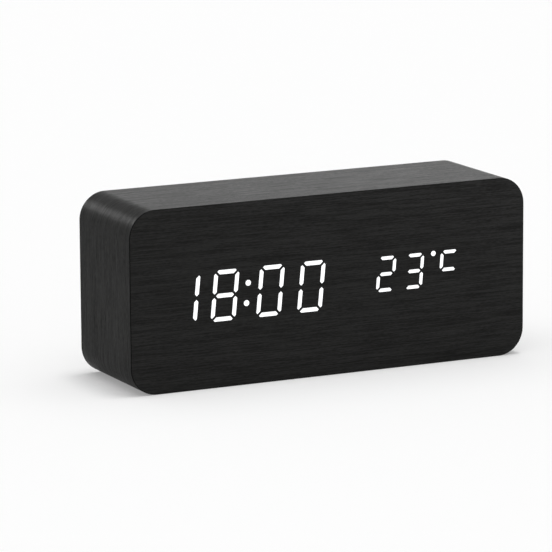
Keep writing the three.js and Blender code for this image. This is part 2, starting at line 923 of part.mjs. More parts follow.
function usbSocket() {
  const [x, z] = onButtonBoard(usbShares);
  const footY = buttonBoardRearY + seatGap;
  const rimY = footY + usbReach;
  const shellOutline = (inset) => {
    const half = usbWidth / 2 - inset;
    const tall = usbHeight / 2 - inset;
    return [
      [x - half + usbCorner, z - tall],
      [x + half - usbCorner, z - tall],
      [x + half, z - tall + usbCorner],
      [x + half, z + tall],
      [x - half, z + tall],
      [x - half, z - tall + usbCorner],
    ];
  };
  const shell = slab(outlineShape(shellOutline(0)), footY, rimY);
  const mouth = slab(outlineShape(shellOutline(usbWall)), footY + usbFloor, rimY + overrun);
  const tongue = blockAt(
    x,
    z + usbTongueRise,
    usbTongueWidth,
    usbTongueThickness,
    footY + usbFloor / 2,
    rimY - usbTongueSetback,
  );
  return shell.subtract(mouth).add(tongue);
}

function buzzer() {
  const [x, z] = onButtonBoard(buzzerShares);
  const footY = buttonBoardRearY + seatGap;
  const rimY = footY + buzzerHeight;
  return turned([
    [0, footY],
    [buzzerRadius, footY],
    [buzzerRadius, rimY - buzzerEdge],
    [buzzerRadius - buzzerEdge, rimY],
    [buzzerHole, rimY],
    [buzzerHole, rimY - buzzerHeight / 2],
    [0, rimY - buzzerHeight / 2],
  ], x, z);
}

function microphone() {
  const [x, z] = onButtonBoard(microphoneShares);
  const footY = buttonBoardRearY + seatGap;
  const rimY = footY + microphoneHeight;
  return turned([
    [0, footY],
    [microphoneRadius, footY],
    [microphoneRadius, rimY],
    [microphonePort, rimY],
    [microphonePort, rimY - microphonePortDepth],
    [0, rimY - microphonePortDepth],
  ], x, z);
}

function thermistor() {
  const [x, z] = onButtonBoard(thermistorShares);
  const footY = buttonBoardRearY + seatGap;
  const beadY = footY + thermistorHeight - thermistorRadius;
  const arc = Array.from({ length: bendSteps + 1 }, (_, i) => {
    const angle = (i / bendSteps) * Math.PI;
    const radius = i % bendSteps ? thermistorRadius * Math.sin(angle) : 0;
    return [radius, beadY - thermistorRadius * Math.cos(angle)];
  });
  const bead = turned(arc, x, z, smallSides);
  const legs = [-thermistorLegPitch / 2, thermistorLegPitch / 2].map((shift) => (
    blockAt(x + shift, z, thermistorLeg, thermistorLeg, footY, beadY)
  ));
  return joined([bead, ...legs]);
}

const coinTopY = buttonBoardFrontY - seatGap - holderFloor;

function coinCell() {
  const [x, z] = onButtonBoard(coinShares);
  const rearFaceY = coinTopY - seatGap;
  const frontFaceY = rearFaceY - coinThickness;
  return turned([
    [0, frontFaceY],
    [coinRadius - coinEdge, frontFaceY],
    [coinRadius, frontFaceY + coinEdge],
    [coinRadius, rearFaceY - coinEdge * 2],
    [coinRadius - coinEdge * 2, rearFaceY],
    [0, rearFaceY],
  ], x, z, coinSides);
}

// A cup for the coin cell, open to the front, with two clips over its rim.
function coinCellHolder() {
  const [x, z] = onButtonBoard(coinShares);
  const footY = buttonBoardFrontY - seatGap;
  const bore = coinRadius + slipGap;
  const rimY = coinTopY - coinThickness;
  const cup = rod(x, z, bore + holderWall, rimY, footY, coinSides);
  const well = rod(x, z, bore, rimY - overrun, coinTopY, coinSides);
  const mouth = block(x - holderMouth / 2, x + holderMouth / 2, rimY - overrun, coinTopY, z, z + bore * 2);
  const clipRearY = rimY - slipGap;
  const clipFrontY = clipRearY - holderFloor;
  const clips = [-1, 1].map((side) => {
    const outerX = x + side * (bore + holderWall);
    const innerX = outerX - side * (holderWall + holderClipReach);
    const clipZ = z - holderClipDrop;
    const bar = (edgeX, backY) => block(
      Math.min(edgeX, outerX),
      Math.max(edgeX, outerX),
      clipFrontY,
      backY,
      clipZ - holderClip / 2,
      clipZ + holderClip / 2,
    );
    return bar(innerX, clipRearY).add(bar(outerX - side * holderWall, rimY + holderFloor));
  });
  return joined([without(cup, [well, mouth]), ...clips]);
}

// Battery tray

const doorFaceY = panelFaceY;
const doorInnerY = doorFaceY - doorThickness;
const ledgeY = doorInnerY - seatGap;
const cellY = ledgeY - slipGap - cellRadius;
const trayFloorY = cellY - cellRadius - slipGap;
const trayFootY = trayFloorY - trayWall;
const contactDepth = seatGap + contactThickness;
const trayLength = contactDepth * 2 + dimpleHeight + cellLength + springLength + seatGap * 3;
const trayRight = cavityHalf - trayMargin;
const trayLeft = trayRight - trayLength;
const cellZs = [-cellPitch, 0, cellPitch].map((rise) => middleZ + rise);
const trayHalfHeight = cellPitch + cellRadius + slipGap / 2;
const trayBottom = middleZ - trayHalfHeight;
const trayTop = middleZ + trayHalfHeight;

// The first and third cells have their positive ends to the right, the second to the left.
const positiveRight = [true, false, true];

const doorLeft = trayLeft - doorLedge;
const doorRight = trayRight + doorLedge;
const doorBottom = trayBottom - doorLedge;
const doorTop = trayTop + doorLedge;
const hookZs = [doorBottom + (doorTop - doorBottom) / 4, doorTop - (doorTop - doorBottom) / 4];
const hingeX = doorLeft;
const hookSwing = Math.hypot(hookReach, doorThickness + hookThickness);
const latchLeft = doorRight + doorGap;
const latchRight = latchLeft + latchThickness * 2 + latchLegGap;
const latchBendY = panelInnerY - latchDrop;
const latchPocketRight = latchRight + latchNib + doorGap * 2;
const latchPocketFloorY = latchBendY - latchLegGap / 2 - latchThickness - slipGap;
const latchPocketHalf = latchWidth / 2 + doorGap;
const hookPocketLeft = doorLeft - doorGap - hookReach;
const hookPocketFloorY = doorFaceY - hookSwing - slipGap;
const hookPocketHalf = hookLength / 2 + doorGap;

function trayBody() {
  return block(
    trayLeft - trayWall,
    trayRight + trayWall,
    trayFootY,
    panelInnerY + seatGap,
    trayBottom - trayWall,
    trayTop + trayWall,
  );
}

// Closed pockets beside the tray, moulded with it, for the door's latch and its two hooks.
function doorPockets() {
  const latchPocket = block(
    trayRight,
    latchPocketRight + trayWall,
    latchPocketFloorY - trayWall,
    panelInnerY + seatGap,
    middleZ - latchPocketHalf - trayWall,
    middleZ + latchPocketHalf + trayWall,
  );
  const hookPockets = hookZs.map((z) => block(
    hookPocketLeft - trayWall,
    trayLeft,
    hookPocketFloorY - trayWall,
    panelInnerY + seatGap,
    z - hookPocketHalf - trayWall,
    z + hookPocketHalf + trayWall,
  ));
  return [latchPocket, ...hookPockets];
}

function traySaddles() {
  const middle = (trayLeft + trayRight) / 2;
  return [middle - saddleSpan / 2, middle + saddleSpan / 2].map((x) => {
    const bar = block(
      x - saddleThickness / 2,
      x + saddleThickness / 2,
      trayFloorY - saddleRoot,
      trayFloorY + saddleHeight,
      trayBottom - saddleRoot,
      trayTop + saddleRoot,
    );
    const beds = cellZs.map((z) => (
      barAlongX(x - saddleThickness, x + saddleThickness, cellY, z, cellRadius + slipGap / 2, roundSides)
    ));
    return without(bar, beds);
  });
}

function soundHoles() {
  const [x, z] = onButtonBoard(buzzerShares);
  const places = [[x, z], ...circleOutline(x, z, soundHolePitch, soundHoleCount)];
  return places.map(([holeX, holeZ]) => (
    rod(holeX, holeZ, soundHoleRadius, panelInnerY - overrun, panelFaceY + overrun, smallSides / 2)
  ));
}

function ventSlots() {
  const [x, z] = onButtonBoard(thermistorShares);
  return [-ventPitch, 0, ventPitch].map((rise) => (
    blockAt(x, z + rise, ventLength, ventWidth, panelInnerY - overrun, panelFaceY + overrun)
  ));
}

const tabPlaces = [
  { end: 'left', z: cellZs[0] },
  { end: 'left', z: (cellZs[1] + cellZs[2]) / 2 },
  { end: 'right', z: (cellZs[0] + cellZs[1]) / 2 },
  { end: 'right', z: cellZs[2] },
];

function tabCentreX(end) {
  const inset = seatGap + contactThickness / 2;
  return end === 'left' ? trayLeft + inset : trayRight - inset;
}

function backPanel() {
  const plate = slab(
    roundedRectangle(-panelHalf, panelHalf, panelBottom, panelTop, rebateCornerRadius - slipGap),
    panelInnerY,
    panelFaceY,
  );
  const bosses = boardScrewPlaces.map(([x, z]) => (
    rod(x, z, bossRadius, buttonBoardRearY + seatGap, panelInnerY + seatGap, smallSides)
  ));
  const capRims = buttonPlaces.map(([x, z]) => (
    rod(x, z, capRadius + slipGap + collarWall, panelInnerY, panelFaceY + rimProud, roundSides)
  ));
  const [usbX, usbZ] = onButtonBoard(usbShares);
  const [micX, micZ] = onButtonBoard(microphoneShares);
  const micCollar = rod(
    micX,
    micZ,
    microphoneRadius + slipGap + collarWall,
    panelInnerY - collarDepth,
    panelInnerY + seatGap,
    roundSides,
  );
  const body = joined([plate, trayBody(), ...doorPockets(), ...bosses, ...capRims, micCollar]);

  const trayRoom = block(trayLeft, trayRight, trayFloorY, panelFaceY + overrun, trayBottom, trayTop);
  const doorRoom = block(
    doorLeft - doorGap,
    doorRight + doorGap,
    ledgeY,
    panelFaceY + overrun,
    doorBottom - doorGap,
    doorTop + doorGap,
  );
  const hookRooms = hookZs.map((z) => block(
    hookPocketLeft,
    trayLeft + hookRoom,
    hookPocketFloorY,
    doorInnerY + doorGap,
    z - hookPocketHalf,
    z + hookPocketHalf,
  ));
  const latchRoom = block(
    doorRight,
    latchPocketRight,
    latchPocketFloorY,
    panelFaceY + overrun,
    middleZ - latchPocketHalf,
    middleZ + latchPocketHalf,
  );
  const capHoles = buttonPlaces.map(([x, z]) => (
    rod(x, z, capRadius + slipGap, panelInnerY - overrun, panelFaceY + overrun, roundSides)
  ));
  const usbHole = blockAt(
    usbX,
    usbZ,
    usbWidth + 2 * slipGap,
    usbHeight + 2 * slipGap,
    panelInnerY - overrun,
    panelFaceY + overrun,
  );
  const usbRim = (margin) => [
    [usbX - usbWidth / 2 - margin, usbZ - usbHeight / 2 - margin],
    [usbX + usbWidth / 2 + margin, usbZ - usbHeight / 2 - margin],
    [usbX + usbWidth / 2 + margin, usbZ + usbHeight / 2 + margin],
    [usbX - usbWidth / 2 - margin, usbZ + usbHeight / 2 + margin],
  ];
  const usbRecess = loft(
    usbRim(slipGap),
    panelInnerY + panelThickness / 2,
    usbRim(usbBevel),
    panelFaceY,
  );
  const micRoom = rod(
    micX,
    micZ,
    microphoneRadius + slipGap,
    panelInnerY - collarDepth - overrun,
    panelInnerY,
    roundSides,
  );
  const micHole = rod(micX, micZ, micHoleRadius, panelInnerY - overrun, panelFaceY + overrun, smallSides / 2);
  const screwHoles = placesOfPosts().flatMap(([x, z]) => [
    rod(x, z, panelScrew.shank + slipGap, panelInnerY - overrun, panelFaceY + overrun, smallSides),
    rod(x, z, panelScrew.head + slipGap, panelFaceY - panelScrew.crown, panelFaceY + overrun, roundSides),
  ]);
  const bossBores = boardScrewPlaces.map(([x, z]) => (
    rod(
      x,
      z,
      boardScrew.shank + seatGap,
      buttonBoardRearY - overrun,
      buttonBoardRearY + seatGap + boardScrew.bite + slipGap,
      smallSides,
    )
  ));
  const tabSlots = tabPlaces.map(({ end, z }) => (
    blockAt(
      tabCentreX(end),
      z,
      contactThickness + 2 * seatGap,
      tabWidth + 2 * slipGap,
      trayFootY - overrun,
      trayFloorY + overrun,
    )
  ));
  const opened = without(body, [
    trayRoom,
    doorRoom,
    ...hookRooms,
    latchRoom,
    ...capHoles,
    usbHole,
    usbRecess,
    micRoom,
    micHole,
    ...soundHoles(),
    ...ventSlots(),
    ...screwHoles,
    ...bossBores,
    ...tabSlots,
  ]);
  return joined([opened, ...traySaddles()]);
}

// The door's spring latch: a strip bent into a U, drawn in X and Y and as wide as the latch in Z.
function doorLatch() {
  const middleX = (latchLeft + latchRight) / 2;
  const innerBend = latchLegGap / 2;
  const outerBend = innerBend + latchThickness;
  const shape = new THREE.Shape();
  shape.moveTo(doorRight - latchThickness, doorFaceY);
  shape.lineTo(middleX - innerBend, doorFaceY);
  shape.lineTo(middleX - innerBend, latchBendY);
  shape.absarc(middleX, latchBendY, innerBend, Math.PI, 2 * Math.PI, false);
  shape.lineTo(middleX + innerBend, doorFaceY);
  shape.lineTo(latchRight, doorFaceY);
  shape.lineTo(latchRight, panelInnerY + latchNib);
  shape.lineTo(latchRight + latchNib, panelInnerY);
  shape.lineTo(latchRight, panelInnerY - latchNib);
  shape.lineTo(latchRight, latchBendY);
  shape.absarc(middleX, latchBendY, outerBend, 2 * Math.PI, Math.PI, true);
  shape.lineTo(latchLeft, doorInnerY);
  shape.lineTo(doorRight - latchThickness, doorInnerY);
  const geometry = new THREE.ExtrudeGeometry(shape, {
    depth: latchWidth,
    bevelEnabled: false,
    curveSegments: bendSteps,
  });
  geometry.translate(0, 0, middleZ - latchWidth / 2);
  return solidFrom(geometry);
}

function batteryDoor() {
  const plate = block(doorLeft, doorRight, doorInnerY, doorFaceY, doorBottom, doorTop);
  const hooks = hookZs.map((z) => (
    block(
      doorLeft - hookReach,
      doorLeft + hookReach,
      doorInnerY - hookThickness,
      doorInnerY,
      z - hookLength / 2,
      z + hookLength / 2,
    )
  ));
  const grips = Array.from({ length: gripCount }, (_, i) => {
    const x = doorRight - gripInset - i * gripPitch;
    return blockAt(x, middleZ, gripWidth, gripLength, doorFaceY - gripDepth, doorFaceY + overrun);
  });
  return without(joined([plate, ...hooks, doorLatch()]), grips);
}

function batteryCell(index) {
  const z = cellZs[index];
  const bodyLength = cellLength - cellNubHeight;
  const profile = [
    [0, 0],
    [cellRadius - cellEdge, 0],
    [cellRadius, cellEdge],
    [cellRadius, bodyLength - cellEdge],
    [cellRadius - cellEdge, bodyLength],
    [cellNubRadius, bodyLength],
    [cellNubRadius, cellLength],
    [0, cellLength],
  ].map(([r, y]) => new THREE.Vector2(r, y));
  const geometry = new THREE.LatheGeometry(profile, roundSides);
  const nubRoom = contactDepth + dimpleHeight + seatGap;
  if (positiveRight[index]) {
    geometry.rotateZ(-Math.PI / 2).translate(trayRight - nubRoom - cellLength, cellY, z);
  } else {
    geometry.rotateZ(Math.PI / 2).translate(trayLeft + nubRoom + cellLength, cellY, z);
  }
  return solidFrom(geometry);
}

// A contact plate at one end of the tray, with a tab through the floor and a dimple for each positive end.
function contactPlate(end, cells) {
  const zs = cells.map((index) => cellZs[index]);
  const tabZ = (Math.min(...zs) + Math.max(...zs)) / 2;
  const wallX = end === 'left' ? trayLeft : trayRight;
  const inward = end === 'left' ? 1 : -1;
  const nearX = wallX + inward * seatGap;
  const farX = wallX + inward * contactDepth;
  const [left, right] = [Math.min(nearX, farX), Math.max(nearX, farX)];
  const plate = block(
    left,
    right,
    cellY - contactHeight / 2,
    cellY + contactHeight / 2,
    Math.min(...zs) - contactHalfWidth,
    Math.max(...zs) + contactHalfWidth,
  );
  const tab = block(left, right, trayFootY - tabReach, cellY, tabZ - tabWidth / 2, tabZ + tabWidth / 2);
  const dimples = cells.filter((index) => positiveRight[index] === (end === 'right')).map((index) => {
    const ends = [(nearX + farX) / 2, farX + inward * dimpleHeight];
    return barAlongX(Math.min(...ends), Math.max(...ends), cellY, cellZs[index], dimpleRadius, smallSides);
  });
  return joined([plate, tab, ...dimples]);
}

// A tapering coil of wire along X between a contact and a cell's flat end. Its ends run square to both.
function springPath(fromX, toX, y, z) {
  const inward = Math.sign(toX - fromX);
  const stub = springWire;
  const startX = fromX + inward * stub;
  const endX = toX - inward * stub;
  const steps = springTurns * springStepsPerTurn;
  const path = [new THREE.Vector3(fromX, y + springBaseRadius, z)];
  for (let i = 0; i <= steps; i += 1) {
    const share = i / steps;
    const angle = share * springTurns * 2 * Math.PI;
    const radius = THREE.MathUtils.lerp(springBaseRadius, springTopRadius, share);
    path.push(new THREE.Vector3(
      THREE.MathUtils.lerp(startX, endX, share),
      y + radius * Math.cos(angle),
      z + radius * Math.sin(angle),
    ));
  }
  path.push(new THREE.Vector3(toX, y + springTopRadius, z));
  return path;
}

// A tube of straight lengths, mitred where they meet. The first length doesn't run along Z.
function wireAlong(path, radius, sides) {
  const ways = path.slice(1).map((point, i) => point.clone().sub(path[i]).normalize());
  const across = new THREE.Vector3(0, 0, 1).cross(ways[0]).normalize();
  const rings = [];
  let ring = Array.from({ length: sides }, (_, i) => (
    path[0].clone().addScaledVector(across.clone().applyAxisAngle(ways[0], (i / sides) * 2 * Math.PI), radius)
  ));
  rings.push(ring);
  for (let i = 1; i < path.length; i += 1) {
    const way = ways[i - 1];
    const onward = ways[Math.min(i, ways.length - 1)];
    const normal = way.clone().add(onward).normalize();
    ring = ring.map((point) => {
      const reach = path[i].clone().sub(point).dot(normal) / way.dot(normal);
      return point.clone().addScaledVector(way, reach);
    });
    rings.push(ring);
  }
  const corners = [];
  const push = (...points) => points.forEach((point) => corners.push(point.x, point.y, point.z));
  for (let i = 0; i + 1 < rings.length; i += 1) {
    for (let j = 0; j < sides; j += 1) {
      const k = (j + 1) % sides;
      push(rings[i][j], rings[i][k], rings[i + 1][j]);
      push(rings[i][k], rings[i + 1][k], rings[i + 1][j]);
    }
  }
  const last = rings[rings.length - 1];
  for (let j = 1; j + 1 < sides; j += 1) {
    push(rings[0][0], rings[0][j + 1], rings[0][j]);
    push(last[0], last[j], last[j + 1]);
  }
  const geometry = new THREE.BufferGeometry();
  geometry.setAttribute('position', new THREE.Float32BufferAttribute(corners, 3));
  return solidFrom(geometry);
}

// The least gap between turns of a wire that lie more than half a turn apart along it.
function leastGap(path, radius, stepsPerTurn) {
  let least = Infinity;
  for (let i = 0; i < path.length; i += 1) {
    for (let j = i + Math.ceil(stepsPerTurn / 2); j < path.length; j += 1) {
      least = Math.min(least, path[i].distanceTo(path[j]) - 2 * radius);
    }
  }
  return least;
}

function contactSpring(end, index) {
  const inward = end === 'left' ? 1 : -1;
  const wallX = end === 'left' ? trayLeft : trayRight;
  const fromX = wallX + inward * (contactDepth + seatGap);
  const path = springPath(fromX, fromX + inward * springLength, cellY, cellZs[index]);
  const gap = leastGap(path, springWire / 2, springStepsPerTurn);
  console.log('contact spring', index + 1, 'least gap between turns', gap.toFixed(2), 'mm');
  return wireAlong(path, springWire / 2, springSides);
}

// Wires

function roundWire(points) {
  const curve = new THREE.CatmullRomCurve3(points.map(([x, y, z]) => new THREE.Vector3(x, y, z)));
  const section = new THREE.Shape();
  section.absarc(0, 0, leadRadius, 0, 2 * Math.PI, false);
  const steps = Math.ceil(curve.getLength() / (leadRadius * leadStepShare));
  const geometry = new THREE.ExtrudeGeometry(section, {
    steps,
    curveSegments: bendSteps,
    bevelEnabled: false,
    extrudePath: curve,
  });
  return solidFrom(geometry);
}

const plugPlace = onButtonBoard(plugShares);
const plugFrontY = buttonBoardFrontY - seatGap - plug.height;

function leadPlug() {
  const [x, z] = plugPlace;
  const body = blockAt(x, z, plug.length, plug.width, plugFrontY, buttonBoardFrontY - seatGap);
  const neck = blockAt(x, z, plug.neckLength, plug.neckWidth, plugFrontY - plug.neck, plugFrontY + plug.neck);
  return body.add(neck);
}

// A lead from a contact's tab, down to the lane in front of the tray and across to the plug.
function batteryLead(end, tabZ, side) {
  const [plugX, plugZ] = plugPlace;
  const inward = end === 'left' ? 1 : -1;
  const tabX = tabCentreX(end) + inward * (contactThickness / 2 + leadRadius + slipGap / 2);
  const tabY = trayFootY - tabReach / 2 - leadRadius;
  const laneY = trayFootY - tabReach - leadDrop;
  const exitX = plugX + side * leadSpacing / 2;
  const exitY = plugFrontY - plug.neck - slipGap;
  const laneZ = plugZ + (tabZ - plugZ) / 2;
  return roundWire([
    [tabX, tabY, tabZ],
    [tabX - leadRadius, laneY, tabZ],
    [(tabX + exitX) / 2, laneY - leadSag, laneZ],
    [exitX + leadSpacing, laneY - leadSag, plugZ + leadSpacing * side],
    [exitX, laneY, plugZ],
    [exitX, exitY, plugZ],
  ]);
}

// A flat cable along Y: straight in both sockets, with a slow sway in X between them.
function ribbonCable(fromX, fromY, toX, toY, z) {
  const straight = socket.slot + ribbonThickness;
  const freeLength = toY - fromY - 2 * straight;
  const steps = cornerSteps + bendSteps;
  const middle = [[fromX, fromY]];
  for (let i = 0; i <= steps; i += 1) {
    const share = i / steps;
    const ease = (1 - Math.cos(share * Math.PI)) / 2;
    const sway = ribbonSway * Math.sin(share * 2 * Math.PI) * Math.sin(share * Math.PI) ** 2;
    middle.push([fromX + (toX - fromX) * ease + sway, fromY + straight + freeLength * share]);
  }
  middle.push([toX, toY]);
  const left = middle.map(([x, y]) => [x - ribbonThickness / 2, y]);
  const right = middle.map(([x, y]) => [x + ribbonThickness / 2, y]);
  const shape = outlineShape([...left, ...right.reverse()]);
  const geometry = new THREE.ExtrudeGeometry(shape, { depth: ribbonWidth, bevelEnabled: false });
  geometry.translate(0, 0, z - ribbonWidth / 2);
  return solidFrom(geometry);
}

// Assembly

const blackFilm = '#1d1c1b';
const board = '#1d5a38';
const blackPlastic = '#161616';
const steel = '#b9bcc0';
const tin = '#c9ccd0';

addPiece('cabinet_core', cabinetCore(), '#a98a60', 0.9, 0);
addPiece('wrap_film', wrapFilm(), blackFilm, 0.55, 0);
addPiece('front_film', frontFilm(), blackFilm, 0.55, 0);
addPiece('back_film', backFilm(), blackFilm, 0.55, 0);

addPiece('segment_diffuser', segmentDiffuser(), '#f7f9ff', 0.4, 0);
addPiece('light_mask', lightMask(), '#0c0c0c', 0.8, 0);
addPiece('segment_reflector', segmentReflector(), '#eeeeec', 0.5, 0);
addPiece('display_board', displayBoard(), board, 0.5, 0);
placesOfDisplayScrews().forEach(([x, z], i) => {
  const headY = displayBoardRearY + seatGap;
  addPiece(`display_screw_${i + 1}`, screwFromBack(displayScrew, x, z, headY, displayScrewTipY), steel, 0.35, 1);
});
addPiece('clock_chip', boardChip(clockChipShares), blackPlastic, 0.6, 0);
addPiece('led_driver_chip', boardChip(driverChipShares), blackPlastic, 0.6, 0);
addPiece('crystal_can', crystalCan(), tin, 0.3, 1);
addPiece('filter_capacitor', filterCapacitor(), '#23262e', 0.45, 0);
const [buttonSocketX, ribbonZ] = onButtonBoard(ribbonShares);
const displaySocketX = displaySocketShare * 2 * cavityHalf;
addPiece(
  'ribbon_socket_display',
  ribbonSocket(displaySocketX, ribbonZ, displayBoardRearY, 1),
  '#e8e4d8',
  0.5,
  0,
);

addPiece('back_panel', backPanel(), blackPlastic, 0.6, 0);
placesOfPosts().forEach(([x, z], i) => {
  const headY = panelFaceY - panelScrew.crown + seatGap;
  addPiece(`panel_screw_${i + 1}`, screwFromBack(panelScrew, x, z, headY, panelScrewTipY), steel, 0.35, 1);
});

addPiece('button_board', buttonBoard(), board, 0.5, 0);
boardScrewPlaces.forEach(([x, z], i) => {
  const rearTipY = buttonBoardRearY + seatGap + boardScrew.bite;
  const underHeadY = buttonBoardFrontY - seatGap;
  const screw = screwFromBack(boardScrew, x, z, 0, underHeadY - rearTipY);
  addPiece(`board_screw_${i + 1}`, screw.mirror([0, 1, 0]).translate([0, underHeadY, 0]), steel, 0.35, 1);
});
['set', 'up', 'down'].forEach((kind, i) => {
  addPiece(`${kind}_switch`, switchBody(buttonPlaces[i]), blackPlastic, 0.5, 0);
  addPiece(`${kind}_plunger`, switchPlunger(buttonPlaces[i]), '#d8d8d4', 0.5, 0);
  addPiece(`${kind}_button`, buttonCap(kind, buttonPlaces[i]), '#262626', 0.7, 0);
});
addPiece('usb_socket', usbSocket(), tin, 0.3, 1);
addPiece('buzzer', buzzer(), blackPlastic, 0.5, 0);
addPiece('microphone', microphone(), tin, 0.4, 1);
addPiece('thermistor', thermistor(), '#30343a', 0.6, 0);
addPiece('coin_cell_holder', coinCellHolder(), blackPlastic, 0.6, 0);
addPiece('coin_cell', coinCell(), tin, 0.25, 1);
addPiece(
  'ribbon_socket_buttons',
  ribbonSocket(buttonSocketX, ribbonZ, buttonBoardFrontY, -1),
  '#e8e4d8',
  0.5,
  0,
);
addPiece(
  'ribbon_cable',
  ribbonCable(
    displaySocketX,
    displayBoardRearY + seatGap + socket.height - socket.slot + slipGap,
    buttonSocketX,
    buttonBoardFrontY - seatGap - socket.height + socket.slot - slipGap,
    ribbonZ,
  ),
  '#a7a9ad',
  0.6,
  0,
);

addPiece('battery_door', batteryDoor(), blackPlastic, 0.6, 0);
cellZs.forEach((_, i) => addPiece(`battery_${i + 1}`, batteryCell(i), '#7d8288', 0.4, 0.2));
addPiece('contact_negative', contactPlate('left', [0]), tin, 0.3, 1);
addPiece('contact_left', contactPlate('left', [1, 2]), tin, 0.3, 1);
addPiece('contact_right', contactPlate('right', [0, 1]), tin, 0.3, 1);
addPiece('contact_positive', contactPlate('right', [2]), tin, 0.3, 1);
cellZs.forEach((_, i) => {
  addPiece(`spring_${i + 1}`, contactSpring(positiveRight[i] ? 'left' : 'right', i), steel, 0.3, 1);
});
addPiece('lead_plug', leadPlug(), '#ece8dc', 0.5, 0);
addPiece('battery_lead_red', batteryLead('right', cellZs[2], 1), '#a8201c', 0.5, 0);
addPiece('battery_lead_black', batteryLead('left', cellZs[0], -1), '#151515', 0.5, 0);

export default clock;
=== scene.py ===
# %% [markdown]
# # A film-wrapped wooden alarm clock
# The real clock is a block of fibreboard wrapped in thin black film that is embossed like
# wood. White figures shine through the face, and a moulded panel with buttons, a power
# socket and a battery door fills the back. The clock's solids were designed elsewhere and
# come in as a fixed frame. This lesson dresses them: it remodels what is seen from close
# by, gives every piece a finish made of nodes, and sets up the light and the camera.

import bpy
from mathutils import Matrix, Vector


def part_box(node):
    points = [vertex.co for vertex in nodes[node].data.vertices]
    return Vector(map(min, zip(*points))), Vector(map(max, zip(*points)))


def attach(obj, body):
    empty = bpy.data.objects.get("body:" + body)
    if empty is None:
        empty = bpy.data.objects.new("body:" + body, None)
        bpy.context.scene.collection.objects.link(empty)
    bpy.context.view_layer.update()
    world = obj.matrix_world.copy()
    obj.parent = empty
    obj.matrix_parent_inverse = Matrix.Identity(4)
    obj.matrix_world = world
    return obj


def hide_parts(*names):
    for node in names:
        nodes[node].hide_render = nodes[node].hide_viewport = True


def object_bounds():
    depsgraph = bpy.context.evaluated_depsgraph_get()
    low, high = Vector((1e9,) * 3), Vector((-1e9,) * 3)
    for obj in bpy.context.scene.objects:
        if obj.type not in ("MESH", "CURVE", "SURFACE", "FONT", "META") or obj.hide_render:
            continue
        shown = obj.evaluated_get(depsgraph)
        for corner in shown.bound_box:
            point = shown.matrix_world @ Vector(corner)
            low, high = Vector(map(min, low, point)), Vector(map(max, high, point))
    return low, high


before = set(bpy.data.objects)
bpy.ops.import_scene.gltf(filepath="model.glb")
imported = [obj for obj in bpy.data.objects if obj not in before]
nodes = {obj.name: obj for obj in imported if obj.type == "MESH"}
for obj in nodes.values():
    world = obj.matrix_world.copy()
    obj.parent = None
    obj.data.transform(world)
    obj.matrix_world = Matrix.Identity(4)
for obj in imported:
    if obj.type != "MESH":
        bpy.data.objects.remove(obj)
CAD_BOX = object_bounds()

# %% [markdown]
# ## Helpers for modelling by operators
# Blender's operators act on whatever is selected, and a script has no mouse to select with.
# So each helper first makes the selection certain: one piece alone, and then, in edit mode,
# only the vertices, edges or faces that pass a test on their place or direction.

# %% Selecting by a test
import math

import bmesh
import bpy
from mathutils import Matrix, Vector

MM = 0.001
SAME_PLACE = 0.005 * MM
SAME_VERTEX = 0.001 * MM


def select_nothing():
    """Leave edit mode and deselect everything."""
    if bpy.context.object and bpy.context.object.mode == "EDIT":
        bpy.ops.object.mode_set(mode="OBJECT")
    bpy.ops.object.select_all(action="DESELECT")


def alone(piece):
    """Select one piece and nothing else."""
    select_nothing()
    piece.select_set(True)
    bpy.context.view_layer.objects.active = piece


def pick(piece, kind, test):
    """Go into edit mode and select the "verts", "edges" or "faces" that pass a test."""
    if bpy.context.object != piece or piece.mode != "EDIT":
        alone(piece)
        bpy.ops.object.mode_set(mode="EDIT")
    mode = {"verts": "VERT", "edges": "EDGE", "faces": "FACE"}[kind]
    bpy.ops.mesh.select_mode(type=mode)
    bpy.ops.mesh.select_all(action="DESELECT")
    mesh = bmesh.from_edit_mesh(piece.data)
    chosen = [item for item in getattr(mesh, kind) if test(item)]
    for item in chosen:
        item.select_set(True)
    bmesh.update_edit_mesh(piece.data)
    return len(chosen)


def runs_along(edge, axis):
    """Whether an edge runs along X (0), Y (1) or Z (2)."""
    way = edge.verts[1].co - edge.verts[0].co
    return abs(way[axis]) > 0.999 * way.length


def lies_at(y):
    """A test for edges whose ends both lie at one depth."""
    return lambda edge: all(abs(vertex.co.y - y) < SAME_PLACE for vertex in edge.verts)


def anything(item):
    return True


print("selecting helpers ready")

# %% Editing and finishing
def apply_place():
    """Write the selected piece's place, turn and size into its mesh."""
    bpy.ops.object.transform_apply(location=True, rotation=True, scale=True)


def extrude(step):
    """Draw out what is selected in edit mode."""
    bpy.ops.mesh.extrude_region_move(TRANSFORM_OT_translate={"value": step})


def merge(piece, reach=SAME_VERTEX):
    """Join the vertices that lie in one place, and stay in edit mode."""
    pick(piece, "verts", anything)
    bpy.ops.mesh.remove_doubles(threshold=reach)


def face_outwards(piece):
    """Turn a closed piece's faces outwards."""
    pick(piece, "faces", anything)
    bpy.ops.mesh.normals_make_consistent(inside=False)
    select_nothing()


def block(name, low, high):
    """A box between two corners, with its place in its mesh."""
    low, high = Vector(low), Vector(high)
    select_nothing()
    bpy.ops.mesh.primitive_cube_add(size=1, location=(low + high) / 2, scale=high - low)
    piece = bpy.context.object
    piece.name = name
    apply_place()
    return piece


def apply_modifier(piece, kind, **settings):
    """Add one modifier, set it and apply it."""
    alone(piece)
    modifier = piece.modifiers.new(kind.lower(), kind)
    for name, value in settings.items():
        setattr(modifier, name, value)
    bpy.ops.object.modifier_apply(modifier=modifier.name)


